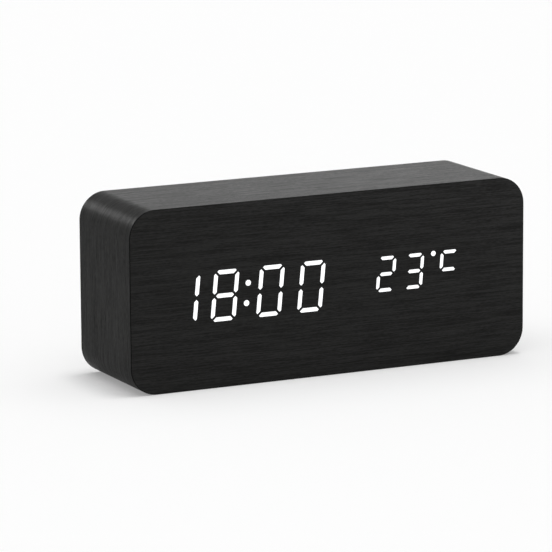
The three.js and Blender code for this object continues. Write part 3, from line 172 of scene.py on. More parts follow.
def finish_piece(piece, finish, body, node, smooth):
    """End a piece's modelling: faces, shading, finish, body, and the node it stands for."""
    face_outwards(piece)
    alone(piece)
    apply_place()
    bpy.ops.object.shade_smooth_by_angle(angle=math.radians(smooth))
    piece.data.materials.clear()
    piece.data.materials.append(finish)
    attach(piece, body)
    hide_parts(node)
    print(piece.name, "has", len(piece.data.polygons), "faces")


print("modelling helpers ready")

# %% [markdown]
# ## Helpers for finishes
# A finish is a small sum worked out at every point of a surface. Written as wired boxes it
# is hard to read, so a class wraps a node's socket and lets Python's own plus, minus and
# times add the Math nodes. Everything else comes from one method that takes the node's
# type, its settings and its sockets.

# %% Sums of sockets
class Pattern:
    """A number that changes over a surface."""

    def __init__(self, wiring, socket):
        self.wiring, self.socket = wiring, socket

    def math(self, operation, first, second=0.0):
        return self.wiring.node("ShaderNodeMath", {"operation": operation}, {0: first, 1: second})

    def __add__(self, other):
        return self.math("ADD", self, other)

    __radd__ = __add__

    def __sub__(self, other):
        return self.math("SUBTRACT", self, other)

    def __rsub__(self, other):
        return self.math("SUBTRACT", other, self)

    def __mul__(self, other):
        return self.math("MULTIPLY", self, other)

    __rmul__ = __mul__

    def __gt__(self, other):
        return self.math("GREATER_THAN", self, other)

    def __lt__(self, other):
        return self.math("LESS_THAN", self, other)

    def __abs__(self):
        return self.math("ABSOLUTE", self)


class Wiring:
    """A node tree and the one method that adds a node of any kind to it."""

    def __init__(self, tree):
        self.tree = tree

    def node(self, kind, settings=None, sockets=None, out=0):
        made = self.tree.nodes.new(kind)
        for name, value in (settings or {}).items():
            setattr(made, name, value)
        for name, value in (sockets or {}).items():
            self.feed(made.inputs[name], value)
        return Pattern(self, made.outputs[out])

    def feed(self, socket, value):
        if isinstance(value, Pattern):
            self.tree.links.new(value.socket, socket)
        elif socket.type == "RGBA" and len(value) == 3:
            socket.default_value = (*value, 1)
        else:
            socket.default_value = value

    def seen(self):
        """1 for what the camera, a reflection or a view through something shows, else 0."""
        ways = ("Is Camera Ray", "Is Glossy Ray", "Is Transmission Ray")
        camera, glossy, through = (self.node("ShaderNodeLightPath", out=way) for way in ways)
        total = camera + glossy + through
        total.socket.node.use_clamp = True
        return total


print("sums of sockets ready")

# %% The finish that holds them
class Finish(Wiring):
    """A node material around one Principled BSDF. The constants go straight on its sockets."""

    def __init__(self, name, **constants):
        self.material = bpy.data.materials.new(name)
        self.material.use_nodes = True
        super().__init__(self.material.node_tree)
        self.shader = self.tree.nodes["Principled BSDF"]
        for key, value in constants.items():
            self.shader.inputs[key.replace("_", " ")].default_value = value

    def place(self, kind="Object", scale=(1, 1, 1), shift=(0, 0, 0)):
        """A point of the surface in metres, or its UV, moved by shift and stretched by scale."""
        coordinate = self.node("ShaderNodeTexCoord", out=kind)
        moved = tuple(a * b for a, b in zip(shift, scale))
        sockets = {"Vector": coordinate, "Scale": scale, "Location": moved}
        return self.node("ShaderNodeMapping", {}, sockets)

    def axis(self, name, kind="Object"):
        """One coordinate of the surface's place, in metres."""
        coordinate = self.node("ShaderNodeTexCoord", out=kind)
        return self.node("ShaderNodeSeparateXYZ", {}, {0: coordinate}, out=name)

    def distance(self, place):
        """How far a place lies from its own origin."""
        return self.node("ShaderNodeVectorMath", {"operation": "LENGTH"}, {0: place}, out="Value")

    def noise(self, place, scale, detail=2.0, roughness=0.5):
        sockets = {"Vector": place, "Scale": scale, "Detail": detail, "Roughness": roughness}
        return self.node("ShaderNodeTexNoise", {}, sockets)

    def smooth_step(self, value, low, high):
        sockets = {0: value, 1: low, 2: high}
        return self.node("ShaderNodeMapRange", {"interpolation_type": "SMOOTHSTEP"}, sockets)

    def blend(self, share, first, second):
        """A colour between two others."""
        sockets = {0: share, 6: first, 7: second}
        return self.node("ShaderNodeMix", {"data_type": "RGBA"}, sockets, out=2)

    def bump(self, height, depth):
        """A relief whose full height is depth, in metres."""
        sockets = {"Height": height, "Distance": depth, "Strength": 1.0}
        return self.node("ShaderNodeBump", {}, sockets)

    def use(self, **patterns):
        for name, value in patterns.items():
            self.feed(self.shader.inputs[name.replace("_", " ")], value)
        return self.material


def dress(finish, *names):
    """Give CAD nodes a finish."""
    for name in names:
        nodes[name].data.materials.clear()
        nodes[name].data.materials.append(finish)
    print(finish.name, "on", ", ".join(names))


print("finish helpers ready")

# %% [markdown]
# ## The wood-grain film
# The film is a thin sheet of black plastic, printed a little lighter in streaks and
# embossed with the same streaks. A Wave texture could draw lines, but they would be too even
# for wood, so a streak is noise that is squeezed across the grain and drawn out along it.
# Three sizes are added: broad bands like growth rings, fine pores, and hairlines that catch
# the light. The pale streaks also carry a faint gloss. The rim of the face's sheet is darker:
# painted shade for the dark line in the seam round the face. The same recipe serves all
# films: the grain follows X, or U where a film has a UV map of its own.

# %% One recipe for all films
BANDS, PORES, HAIRLINES = (70 * MM, 2.6 * MM), (13 * MM, 0.38 * MM), (2 * MM, 0.21 * MM)
FILM_BLACK, FILM_STREAK = (0.0145, 0.0145, 0.0141), (0.0250, 0.0250, 0.0244)
# The dark rim colour below is painted shade: the dark line in the seam between face and wrap.
SEAM_SHADE = (0.003, 0.003, 0.003)
EMBOSSING, SEAM_SHADE_FROM = 0.022 * MM, 0.05 * MM


def grain_film(name, kind="Object", shade_from=None):
    """Black film with a grain. Behind a given depth on Y it is darkened as painted seam shade."""
    finish = Finish(name, IOR=1.05, Coat_Roughness=0.35)

    def streaks(size, detail):
        length, width = size
        stretched = finish.place(kind, (1 / length, 1 / width, 1 / width))
        return finish.noise(stretched, 1.0, detail, 0.6)

    bands, pores, hairlines = streaks(BANDS, 1.0), streaks(PORES, 2.0), streaks(HAIRLINES, 2.0)
    grain = finish.smooth_step(0.12 * bands + 0.46 * pores + 0.42 * hairlines, 0.37, 0.63)
    colour = finish.blend(grain, FILM_BLACK, FILM_STREAK)
    # Painted shade: the sheet's rim and edges behind this depth are darkened like the shaded seam.
    if shade_from is not None:
        colour = finish.blend(finish.axis("Y") > shade_from, colour, SEAM_SHADE)
    return finish.use(
        Base_Color=colour,
        Roughness=0.32 + 0.12 * (1 - grain),
        Coat_Weight=0.005 + 0.12 * grain,
        Normal=finish.bump(0.6 * pores + 0.4 * hairlines, EMBOSSING),
    )


# The face film's rim is painted darker, as the shade in the seam round the face.
face_film = grain_film("face_film", shade_from=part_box("front_film")[0].y + SEAM_SHADE_FROM)
wrap_grain = grain_film("wrap_grain", "UV")
border_film = grain_film("border_film")
print("films:", face_film.name, wrap_grain.name, border_film.name)

# %% [markdown]
# ## The film round the four long sides
# One strip of film runs all the way round the block, so its grain follows the outline: it
# runs along the top, turns with the rounded corner and goes down the side. Four flat sheets
# would be simpler, but their grain would break at the corners. A block is bevelled at its
# four long edges, its two ends are opened, and a Solidify modifier gives the sleeve the
# film's thickness. A UV map then unrolls the strip: U is the distance round the outline and
# V the distance from front to back, both in metres.

# %% Model the sleeve and unroll it
CORNER_RADIUS = 9.5 * MM
FILM_THICKNESS = 0.4 * MM
CORNER_SEGMENTS = 24
ANGLE_SLACK = 0.001


def round_long_edges(piece):
    """Bevel the edges that run from front to back."""
    pick(piece, "edges", lambda edge: runs_along(edge, 1))
    bpy.ops.mesh.bevel(offset=CORNER_RADIUS, segments=CORNER_SEGMENTS, affect="EDGES")


sleeve_low, sleeve_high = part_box("wrap_film")
sleeve = block("film_sleeve", sleeve_low, sleeve_high)
round_long_edges(sleeve)
pick(sleeve, "faces", lambda face: abs(face.normal.y) > 0.9)
bpy.ops.mesh.delete(type="FACE")
apply_modifier(sleeve, "SOLIDIFY", thickness=FILM_THICKNESS, offset=-1, use_even_offset=True)


def distance_round(x, z):
    """How far along the outline a point lies, from the left end of the underside."""
    half = sleeve_high.x - CORNER_RADIUS
    bottom, top = sleeve_low.z + CORNER_RADIUS, sleeve_high.z - CORNER_RADIUS
    core_x, core_z = min(max(x, -half), half), min(max(z, bottom), top)
    turn = (math.atan2(z - core_z, x - core_x) + math.pi / 2) % (2 * math.pi)
    sides = (core_x + half, core_z - bottom, half - core_x, top - core_z)
    lengths = (2 * half, top - bottom, 2 * half, top - bottom)
    quarter = min(int((turn + ANGLE_SLACK) / (math.pi / 2)), 3)
    on_side = abs(turn - quarter * math.pi / 2) < ANGLE_SLACK
    along_side = sides[quarter] if on_side else lengths[quarter]
    return sum(lengths[:quarter]) + along_side + CORNER_RADIUS * turn


def unroll(piece):
    """Write the strip's own coordinates into a UV map, with no face cut by the seam."""
    layer = piece.data.uv_layers.active or piece.data.uv_layers.new(name="strip")
    around = 2 * (2 * sleeve_high.x + sleeve_high.z - sleeve_low.z - 4 * CORNER_RADIUS)
    around += 2 * math.pi * CORNER_RADIUS
    for face in piece.data.polygons:
        home = distance_round(face.center.x, face.center.z)
        for corner in face.loop_indices:
            spot = piece.data.vertices[piece.data.loops[corner].vertex_index].co
            u = distance_round(spot.x, spot.z)
            u += around * round((home - u) / around)
            layer.data[corner].uv = (u, spot.y)


unroll(sleeve)
finish_piece(sleeve, wrap_grain, "clock_body", "wrap_film", smooth=30)

# %% [markdown]
# ## The film on the face
# The face carries its own sheet. Its rim is rounded over slightly, which draws the fine
# line that catches the light along the corner. The lit bars of the figures are windows in
# it. Drawn a second time they could sit a little off, so their outlines are lifted off the
# raised lands of the diffuser behind: a copy of that node is reduced to the flat tops of its
# lands, these are grown by the clearance and extruded into cutters, and a Boolean modifier
# takes them out of the sheet.

# %% Model the face and cut its windows
FACE_ROUNDING = 0.35 * MM
WINDOW_CLEARANCE = 0.05 * MM
CUTTER_AHEAD, CUTTER_LENGTH = 0.2 * MM, 1 * MM


def copy_of(node, name):
    """A free copy of a CAD node's mesh, with its loose triangles joined."""
    select_nothing()
    piece = bpy.data.objects.new(name, nodes[node].data.copy())
    bpy.context.scene.collection.objects.link(piece)
    merge(piece)
    bpy.ops.mesh.dissolve_limited(angle_limit=math.radians(1))
    return piece


face_low, face_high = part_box("front_film")
face = block("film_face", face_low, face_high)
round_long_edges(face)
pick(face, "edges", lies_at(face_low.y))
bpy.ops.mesh.bevel(offset=FACE_ROUNDING, segments=3, affect="EDGES")

cutters = copy_of("segment_diffuser", "cutters")
pick(cutters, "faces", lambda face: abs(face.calc_center_median().y - face_low.y) > SAME_PLACE)
bpy.ops.mesh.delete(type="FACE")
lit_bars = pick(cutters, "faces", anything)
bpy.ops.mesh.inset(thickness=WINDOW_CLEARANCE, use_outset=True)
pick(cutters, "faces", anything)
bpy.ops.transform.translate(value=(0, -CUTTER_AHEAD, 0))
extrude((0, CUTTER_LENGTH, 0))
face_outwards(cutters)
apply_modifier(face, "BOOLEAN", operation="DIFFERENCE", object=cutters, solver="EXACT")
bpy.data.objects.remove(cutters)
print("windows cut:", lit_bars)
finish_piece(face, face_film, "clock_body", "front_film", smooth=30)

# %% [markdown]
# ## The lit figures
# The diffuser is a milky sheet. Behind each lit bar it has a raised land that fills its
# window, and only there does light come through. The lands of a copy get a fine moulded
# bevel, so that each bar has the crisp, slightly narrower shape that the eye sees. Each bar
# could be a lamp of its own, but the real sheet is one moulding. So one finish does both
# jobs: the depth of the surface decides how much it glows.

# %% Bevel the lands and let them glow
LAND_BEVEL = 0.22 * MM
GLOW_FROM, GLOW_DEPTH = 0.01 * MM, 0.3 * MM

figures = copy_of("segment_diffuser", "lit_figures")
pick(figures, "edges", lies_at(face_low.y))
bpy.ops.mesh.bevel(offset=LAND_BEVEL, segments=1, affect="EDGES")

milky = Finish("milky_diffuser", Roughness=0.35, Emission_Strength=1.0)
sunk = milky.smooth_step(milky.axis("Y"), face_low.y + GLOW_FROM, face_low.y + LAND_BEVEL)
buried = milky.axis("Y") > face_low.y + GLOW_DEPTH
cloud = milky.noise(milky.place(), 900.0)
shine = milky.blend(cloud, (0.96, 0.97, 0.98), (1.0, 1.0, 1.0))
rim = milky.blend(sunk, shine, (0.03, 0.03, 0.03))
milky_diffuser = milky.use(
    Base_Color=milky.blend(cloud, (0.62, 0.64, 0.66), (0.68, 0.70, 0.72)),
    Emission_Color=milky.blend(buried, rim, (0.0, 0.0, 0.0)),
)
finish_piece(figures, milky_diffuser, "clock_body", "segment_diffuser", smooth=30)

# %% [markdown]
# ## Turned pieces
# Buttons, screw heads and battery cells are round. A profile could be spun round its axis,
# but that leaves a seam and two poles to close. So a disc is drawn out along the axis, as
# if on a lathe: extrude to the next stop, resize to its radius, and so on. The list of stops
# is the profile, so it reads like a drawing. For the caps and cells it is written in
# millimetres.

# %% A lathe made of extrusions
def turned(name, centre, axis, stops, sides=48):
    """A round piece along "X" or "Y". Each stop is a radius and a place along the axis."""
    select_nothing()
    along = Vector((1, 0, 0)) if axis == "X" else Vector((0, 1, 0))
    tilt = (0, math.pi / 2, 0) if axis == "X" else (math.pi / 2, 0, 0)
    base = Vector(centre) - along * Vector(centre).dot(along)
    radius, place = stops[0]
    bpy.ops.mesh.primitive_circle_add(
        vertices=sides, radius=radius, fill_type="NGON", location=base + along * place, rotation=tilt
    )
    piece = bpy.context.object
    piece.name = name
    apply_place()
    bpy.ops.object.mode_set(mode="EDIT")
    bpy.ops.mesh.select_all(action="SELECT")
    for next_radius, next_place in stops[1:]:
        extrude(along * (next_place - place))
        grow = next_radius / radius
        size = (1, grow, grow) if axis == "X" else (grow, 1, grow)
        bpy.ops.transform.resize(value=size, center_override=base + along * next_place)
        radius, place = next_radius, next_place
    face_outwards(piece)
    return piece


print("lathe ready")

# %% Copies, places and cuts
SLIVER = 0.002 * MM


def repeat(piece, name, change):
    """A copy with its own mesh, moved or turned by a matrix."""
    select_nothing()
    twin = piece.copy()
    twin.name = name
    twin.data = piece.data.copy()
    bpy.context.scene.collection.objects.link(twin)
    twin.data.transform(change)
    return twin


def shifted(step):
    return Matrix.Translation(step)


def about(centre, change):
    """A turn or mirroring about a centre."""
    return Matrix.Translation(centre) @ change @ Matrix.Translation(-centre)


def centre_of(node):
    low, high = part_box(node)
    return (low + high) / 2


def local_map(piece, spot):
    """Write a UV map from a function of a vertex's place. The piece's copies keep it."""
    layer = piece.data.uv_layers.active or piece.data.uv_layers.new(name="local")
    for corner in piece.data.loops:
        layer.data[corner.index].uv = spot(piece.data.vertices[corner.vertex_index].co)


def take(piece, tool, operation):
    """Join a tool's shape to a piece, or take it away, and clear the slivers it leaves."""
    face_outwards(tool)
    apply_modifier(piece, "BOOLEAN", operation=operation, object=tool, solver="EXACT")
    bpy.data.objects.remove(tool)
    merge(piece, SLIVER)
    bpy.ops.mesh.dissolve_degenerate(threshold=SLIVER)
    select_nothing()


print("copies and cuts ready")

# %% [markdown]
# ## Three rubber buttons
# Each cap has a flange that the panel holds in, a rounded crown, a shallow dish for the
# fingertip and a raised mark: a dot for set, and arrowheads for up and down. The bare cap
# is turned once and copied, and a Boolean modifier joins each copy with its own mark. The
# marks are printed pale, and a UV map with its origin at the cap's middle tells where.

# %% Turn one cap and copy it
FLANGE_RADIUS, CAP_RADIUS = 5.1, 4.0
MARK_TOP = 20.75 * MM
MARK_HEIGHT, MARK_ROUNDING = 0.5 * MM, 0.06 * MM
MARKS = {"set": (30, 0.8, 0.05), "up": (3, 1.6, 0), "down": (3, 1.6, math.pi)}
PRINT_REACH, PRINT_DEPTH = 2.2 * MM, 0.07 * MM

cap_profile = [
    (FLANGE_RADIUS - 0.2, 16.50), (FLANGE_RADIUS, 16.65), (FLANGE_RADIUS, 17.35),
    (FLANGE_RADIUS - 0.15, 17.50), (CAP_RADIUS + 0.08, 17.50), (CAP_RADIUS, 17.62),
    (CAP_RADIUS, 20.34), (CAP_RADIUS - 0.04, 20.52), (CAP_RADIUS - 0.15, 20.67),
    (CAP_RADIUS - 0.32, 20.77), (CAP_RADIUS - 0.52, 20.80), (3.22, 20.78), (2.95, 20.69),
    (2.60, 20.59), (2.10, 20.52), (1.40, 20.47), (0.40, 20.45),
]
cap_stops = [(radius * MM, y * MM) for radius, y in cap_profile]
set_centre = centre_of("set_button")
caps = {"set": turned("set_key_cap", set_centre, "Y", cap_stops, sides=64)}
for key in ("up", "down"):
    step = centre_of(key + "_button") - set_centre
    caps[key] = repeat(caps["set"], key + "_key_cap", shifted(step))
print("caps:", ", ".join(cap.name for cap in caps.values()))

# %% Add the marks and the rubber
rubber = Finish("black_rubber", IOR=1.45)
grit = rubber.noise(rubber.place(), 7000.0, 3.0)
wear = rubber.noise(rubber.place(), 500.0)
near_middle = rubber.distance(rubber.place("UV")) < PRINT_REACH
printed = near_middle * (rubber.axis("Y") > MARK_TOP - PRINT_DEPTH)
black_rubber = rubber.blend(wear, (0.011, 0.011, 0.012), (0.018, 0.018, 0.019))
button_rubber = rubber.use(
    Base_Color=rubber.blend(printed, black_rubber, (0.45, 0.45, 0.45)),
    Roughness=0.55 + 0.15 * wear,
    Normal=rubber.bump(grit, 0.01 * MM),
)


def raised_mark(corners, radius, turn, centre):
    """A disc or arrowhead that stands on a cap's dish, with a softened top."""
    top = Vector((centre.x, MARK_TOP, centre.z))
    select_nothing()
    bpy.ops.mesh.primitive_circle_add(
        vertices=corners, radius=radius * MM, fill_type="NGON",
        location=top, rotation=(math.pi / 2, 0, 0),
    )
    mark = bpy.context.object
    apply_place()
    mark.data.transform(about(top, Matrix.Rotation(turn, 4, "Y")))
    pick(mark, "faces", anything)
    extrude((0, -MARK_HEIGHT, 0))
    pick(mark, "edges", lies_at(MARK_TOP))
    bpy.ops.mesh.bevel(offset=MARK_ROUNDING, segments=2, affect="EDGES")
    return mark


for key, cap in caps.items():
    centre = centre_of(key + "_button")
    take(cap, raised_mark(*MARKS[key], centre), "UNION")
    local_map(cap, lambda spot: (spot.x - centre.x, spot.z - centre.z))
    finish_piece(cap, button_rubber, key + "_key", key + "_button", smooth=35)

# %% [markdown]
# ## Screws
# Ten self-tapping screws hold the clock together: four in the panel, four in the display
# board and two, turned round, in the button board. A screw is turned from its tip to its
# domed head, two tapered cutters sink the cross, and a Screw modifier winds a small triangle
# into the thread. A bump could stand in for the thread, but the outline would stay smooth.
# The first of each kind is made, and the rest are its copies. The profiles here are shares:
# of the shank's radius for the point, and of the head's radius and height for the head.

# %% A recipe for screws
THREAD_PITCH, THREAD_DEPTH, THREAD_STEPS = 1.1 * MM, 0.2 * MM, 20
THREAD_START = 0.04
ROOT_SHARE = 0.82
CROSS_REACH, CROSS_WIDTH, CROSS_DEPTH, CROSS_TAPER = 0.6, 0.13, 0.6, 0.7
POINT_PROFILE = [(0.12, 0.0), (0.62, 0.7), (ROOT_SHARE, 1.4)]
HEAD_PROFILE = [
    (0.97, 0.03), (1.0, 0.12), (1.0, 0.42), (0.93, 0.68), (0.78, 0.86), (0.52, 0.96), (0.2, 1.0),
]


def thread(root, low, high, centre):
    """A ridge wound round a shank, closed at both ends."""
    select_nothing()
    bpy.ops.mesh.primitive_circle_add(
        vertices=3, radius=THREAD_DEPTH, location=(root, low, 0), rotation=(0, 0, -math.pi / 2)
    )
    ridge = bpy.context.object
    apply_place()
    turns = int((high - low) / THREAD_PITCH)
    apply_modifier(
        ridge, "SCREW", axis="Y", screw_offset=THREAD_PITCH, iterations=turns,
        steps=THREAD_STEPS, render_steps=THREAD_STEPS,
    )
    merge(ridge)
    bpy.ops.mesh.select_all(action="SELECT")
    bpy.ops.mesh.fill_holes(sides=0)
    select_nothing()
    ridge.data.transform(shifted((centre.x, 0, centre.z)) @ Matrix.Rotation(THREAD_START, 4, "Y"))
    return ridge


def screw(name, node, head, shank, crown):
    """A screw as long as its node, with its head towards the back."""
    low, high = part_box(node)
    centre, seat = (low + high) / 2, high.y - crown
    profile = [(shank * across, low.y + shank * rise) for across, rise in POINT_PROFILE]
    root, point_end = profile[-1]
    profile += [(root, seat)] + [(head * across, seat + crown * rise) for across, rise in HEAD_PROFILE]
    piece = turned(name, centre, "Y", profile, sides=40)
    for length, width in ((CROSS_REACH, CROSS_WIDTH), (CROSS_WIDTH, CROSS_REACH)):
        arm = block(
            "cross_cutter",
            (centre.x - head * length, high.y - CROSS_DEPTH * crown, centre.z - head * width),
            (centre.x + head * length, high.y + MM, centre.z + head * width),
        )
        pick(arm, "faces", lambda face: face.normal.y < -0.9)
        bpy.ops.transform.resize(value=(CROSS_TAPER, 1, CROSS_TAPER), center_override=centre)
        take(piece, arm, "DIFFERENCE")
    take(piece, thread(root, point_end, seat - MM, centre), "UNION")
    return piece


print("threads will rise", round(THREAD_PITCH / MM, 2), "mm a turn")

# %% Plate the screws and put them in place
WIDE_SCREW = {"head": 2.55 * MM, "shank": 1.3 * MM, "crown": 1.45 * MM}
FINE_SCREW = {"head": 2.25 * MM, "shank": 1.1 * MM, "crown": 1.25 * MM}

steel = Finish("screw_plating", Metallic=1.0)
plating = steel.noise(steel.place(), 1800.0, 3.0)
scuffs = steel.noise(steel.place(scale=(1, 0.2, 1)), 5000.0, 1.0)
screw_steel = steel.use(
    Base_Color=steel.blend(plating, (0.40, 0.41, 0.43), (0.56, 0.57, 0.59)),
    Roughness=0.26 + 0.16 * plating,
    Normal=steel.bump(scuffs, 0.004 * MM),
)
first_screws = {}
for kind, size, turn in (
    ("panel", WIDE_SCREW, 0), ("display", FINE_SCREW, 0), ("board", FINE_SCREW, math.pi),
):
    node = kind + "_screw_1"
    first = screw(kind + "_screw_a", node, **size)
    first.data.transform(about(centre_of(node), Matrix.Rotation(turn, 4, "Z")))
    first_screws[kind] = first
for kind, letters in (("panel", "bcd"), ("display", "bcd"), ("board", "b")):
    first, home = first_screws[kind], centre_of(kind + "_screw_1")
    for number, letter in enumerate(letters, start=2):
        node = f"{kind}_screw_{number}"
        twin = repeat(first, f"{kind}_screw_{letter}", shifted(centre_of(node) - home))
        finish_piece(twin, screw_steel, "clock_body", node, smooth=35)
    finish_piece(first, screw_steel, "clock_body", kind + "_screw_1", smooth=35)

# %% [markdown]
# ## Battery cells and their springs
# The cells are steel cans in a shrunk plastic sleeve whose ends curl over the rims. Can and
# sleeve could be two pieces, but they never part, so one turned profile has both, and the
# finish tells them apart. The sleeve stays free of print: it is slate blue with a pale end
# at the positive pole. The UV map holds the distance from the negative end, so the colours
# sit right on every cell, whichever way round it lies. The springs are wire, so a curve with
# a round bevel follows the tapering coil and is then made a mesh.

# %% Turn one cell and lay in the others
SLEEVE_ENDS = (0.32 * MM, 43.48 * MM)
PALE_FROM, PALE_BLUR = 34.0 * MM, 0.05 * MM
LINE_AHEAD, LINE_HALF = 1 * MM, 0.25 * MM

cell_profile = [
    (3.10, 0.00), (3.35, 0.12), (3.50, 0.18), (4.20, 0.20), (4.35, 0.12), (4.75, 0.10),
    (5.05, 0.25), (5.20, 0.50), (5.25, 0.90), (5.25, 42.90), (5.20, 43.25), (5.05, 43.50),
    (4.70, 43.60), (4.30, 43.55), (4.15, 43.35), (2.30, 43.30), (1.95, 43.50), (1.90, 43.70),
    (1.90, 44.20), (1.80, 44.40), (1.55, 44.50),
]
first_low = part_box("battery_1")[0]
first_centre = centre_of("battery_1")
cell_stops = [(radius * MM, first_low.x + x * MM) for radius, x in cell_profile]
cell = turned("cell_1", first_centre, "X", cell_stops, sides=64)


def down_the_cell(spot):
    """The distance from the negative end, and the angle round the cell."""
    return spot.x - first_low.x, math.atan2(spot.y - first_centre.y, spot.z - first_centre.z)


local_map(cell, down_the_cell)
turned_about = about(first_centre, Matrix.Rotation(math.pi, 4, "Z"))
second = repeat(cell, "cell_2", shifted(centre_of("battery_2") - first_centre) @ turned_about)
third = repeat(cell, "cell_3", shifted(centre_of("battery_3") - first_centre))

sleeve_finish = Finish("battery_sleeve", IOR=1.45, Coat_Roughness=0.12)
along_cell = sleeve_finish.axis("X", "UV")
bare = (along_cell < SLEEVE_ENDS[0]) + (along_cell > SLEEVE_ENDS[1])
pale = sleeve_finish.smooth_step(along_cell, PALE_FROM, PALE_FROM + PALE_BLUR)
line = abs(along_cell - (PALE_FROM - LINE_AHEAD)) < LINE_HALF
haze = sleeve_finish.noise(sleeve_finish.place(), 300.0, 3.0)
slate = sleeve_finish.blend(haze, (0.022, 0.045, 0.070), (0.030, 0.056, 0.084))
silver = (0.42, 0.43, 0.44)
two_tone = sleeve_finish.blend(pale, slate, silver)
printed_sleeve = sleeve_finish.blend(line, two_tone, silver)
battery_sleeve = sleeve_finish.use(
    Base_Color=sleeve_finish.blend(bare, printed_sleeve, (0.6, 0.6, 0.6)),
    Metallic=bare,
    Roughness=0.24 + 0.14 * haze,
    Coat_Weight=0.5 * (1 - bare),
)
for number, piece in enumerate((cell, second, third), start=1):
    finish_piece(piece, battery_sleeve, "clock_body", f"battery_{number}", smooth=35)

# %% A wire and its coils
SPRING_TURNS, SPRING_STEPS = 3, 24
SPRING_BASE, SPRING_TIP, SPRING_WIRE = 3.3 * MM, 2.1 * MM, 0.6 * MM


def wire(name, points, diameter, sides=3):
    """A round wire through points, as a mesh."""
    select_nothing()
    data = bpy.data.curves.new(name, "CURVE")
    data.dimensions, data.bevel_depth, data.bevel_resolution = "3D", diameter / 2, sides
    data.use_fill_caps = True
    line = data.splines.new("POLY")
    line.points.add(len(points) - 1)
    for slot, point in zip(line.points, points):
        slot.co = (*point, 1)
    piece = bpy.data.objects.new(name, data)
    bpy.context.scene.collection.objects.link(piece)
    alone(piece)
    bpy.ops.object.convert(target="MESH")
    piece = bpy.context.object
    merge(piece)
    select_nothing()
    return piece


def coil(low, high):
    """The centreline of a tapering spring, from its base at the left to its tip."""
    start, end = low + SPRING_WIRE, high - SPRING_WIRE
    points = [(low, first_centre.y + SPRING_BASE, first_centre.z)]
    for step in range(SPRING_TURNS * SPRING_STEPS + 1):
        share = step / (SPRING_TURNS * SPRING_STEPS)
        angle = 2 * math.pi * SPRING_TURNS * share
        radius = SPRING_BASE + (SPRING_TIP - SPRING_BASE) * share
        points.append((
            start + (end - start) * share,
            first_centre.y + radius * math.cos(angle),
            first_centre.z + radius * math.sin(angle),
        ))
    return points + [(high, first_centre.y + SPRING_TIP, first_centre.z)]


print("springs will have", SPRING_TURNS, "turns")

# %% Wind one spring and place the others
plate_metal = Finish("nickel_strip", Metallic=1.0)
rolled = plate_metal.noise(plate_metal.place(scale=(1, 0.15, 1)), 2500.0, 3.0)
tarnish = plate_metal.noise(plate_metal.place(), 350.0)
contact_metal = plate_metal.use(
    Base_Color=plate_metal.blend(tarnish, (0.50, 0.48, 0.44), (0.66, 0.65, 0.62)),
    Roughness=0.22 + 0.2 * tarnish,
    Normal=plate_metal.bump(rolled, 0.004 * MM),
)
dress(contact_metal, "contact_negative", "contact_left", "contact_right", "contact_positive")

spring_low, spring_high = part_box("spring_1")
spring = wire("coil_spring_1", coil(spring_low.x, spring_high.x), SPRING_WIRE)
spring_centre = Vector(((spring_low.x + spring_high.x) / 2, first_centre.y, first_centre.z))
pitch = Vector((0, 0, centre_of("battery_2").z - first_centre.z))
opposite = Vector((centre_of("spring_2").x - spring_centre.x, 0, 0)) + pitch
mirror_x = about(spring_centre, Matrix.Scale(-1, 4, (1, 0, 0)))
springs = (
    spring,
    repeat(spring, "coil_spring_2", shifted(opposite) @ mirror_x),
    repeat(spring, "coil_spring_3", shifted(2 * pitch)),
)
for number, piece in enumerate(springs, start=1):
    finish_piece(piece, contact_metal, "clock_body", f"spring_{number}", smooth=60)

# %% [markdown]
# ## Wires inside
# Two thin leads take the battery's power to the button board, and a flat ribbon joins the
# two boards. A lead is one smooth line through a few points, the same ones as in the CAD
# model, with a round bevel of the lead's thickness, and its length is printed.
# The ribbon starts as a box that is cut into slices and bent, slice by slice, to its sway.

# %% The two battery leads
LEAD_DIAMETER = 1.2 * MM
RED_STOPS = (
    (58.35, 4.65, 42.30), (57.75, 2.65, 42.30), (1.48, 1.85, 32.14),
    (-53.39, 1.85, 23.98), (-55.39, 2.65, 21.98), (-55.39, 5.20, 21.98),
)
BLACK_STOPS = (
    (10.20, 4.65, 20.70), (9.60, 2.65, 20.70), (-23.595, 1.85, 21.34),
    (-55.39, 1.85, 19.98), (-57.39, 2.65, 21.98), (-57.39, 5.20, 21.98),
)


def through(stops, steps=7):
    """A smooth line through points: a centripetal Catmull-Rom curve."""
    points = [Vector(stop) * MM for stop in stops]
    points = [2 * points[0] - points[1], *points, 2 * points[-1] - points[-2]]
    line = []
    for before, start, end, after in zip(points, points[1:], points[2:], points[3:]):
        spans = ((before, start), (start, end), (end, after))
        first, own, last = ((b - a).length ** 0.5 for a, b in spans)
        leave = (start - before) / first - (end - before) / (first + own) + (end - start) / own
        arrive = (end - start) / own - (after - start) / (own + last) + (after - end) / last
        for step in range(steps):
            t = step / steps
            line.append(
                start * (2 * t**3 - 3 * t**2 + 1) + end * (3 * t**2 - 2 * t**3)
                + own * leave * (t**3 - 2 * t**2 + t) + own * arrive * (t**3 - t**2)
            )
    return [*line, points[-2]]


def sheath(name, pale, dark):
    """Soft plastic round a lead, a little cloudy."""
    soft = Finish(name, IOR=1.5, Roughness=0.38)
    clouds = soft.noise(soft.place(), 600.0)
    ripple = soft.noise(soft.place(), 2500.0)
    return soft.use(Base_Color=soft.blend(clouds, dark, pale), Normal=soft.bump(ripple, 0.01 * MM))


red_sheath = sheath("red_vinyl", (0.42, 0.018, 0.012), (0.30, 0.010, 0.008))
black_sheath = sheath("black_vinyl", (0.022, 0.022, 0.024), (0.012, 0.012, 0.013))
for colour, stops, finish in (("red", RED_STOPS, red_sheath), ("black", BLACK_STOPS, black_sheath)):
    route = through(stops)
    length = sum((b - a).length for a, b in zip(route, route[1:]))
    lead = wire("lead_" + colour, route, LEAD_DIAMETER)
    finish_piece(lead, finish, "clock_body", "battery_lead_" + colour, smooth=60)
    print("lead_" + colour, "is", round(length / MM), "mm long")

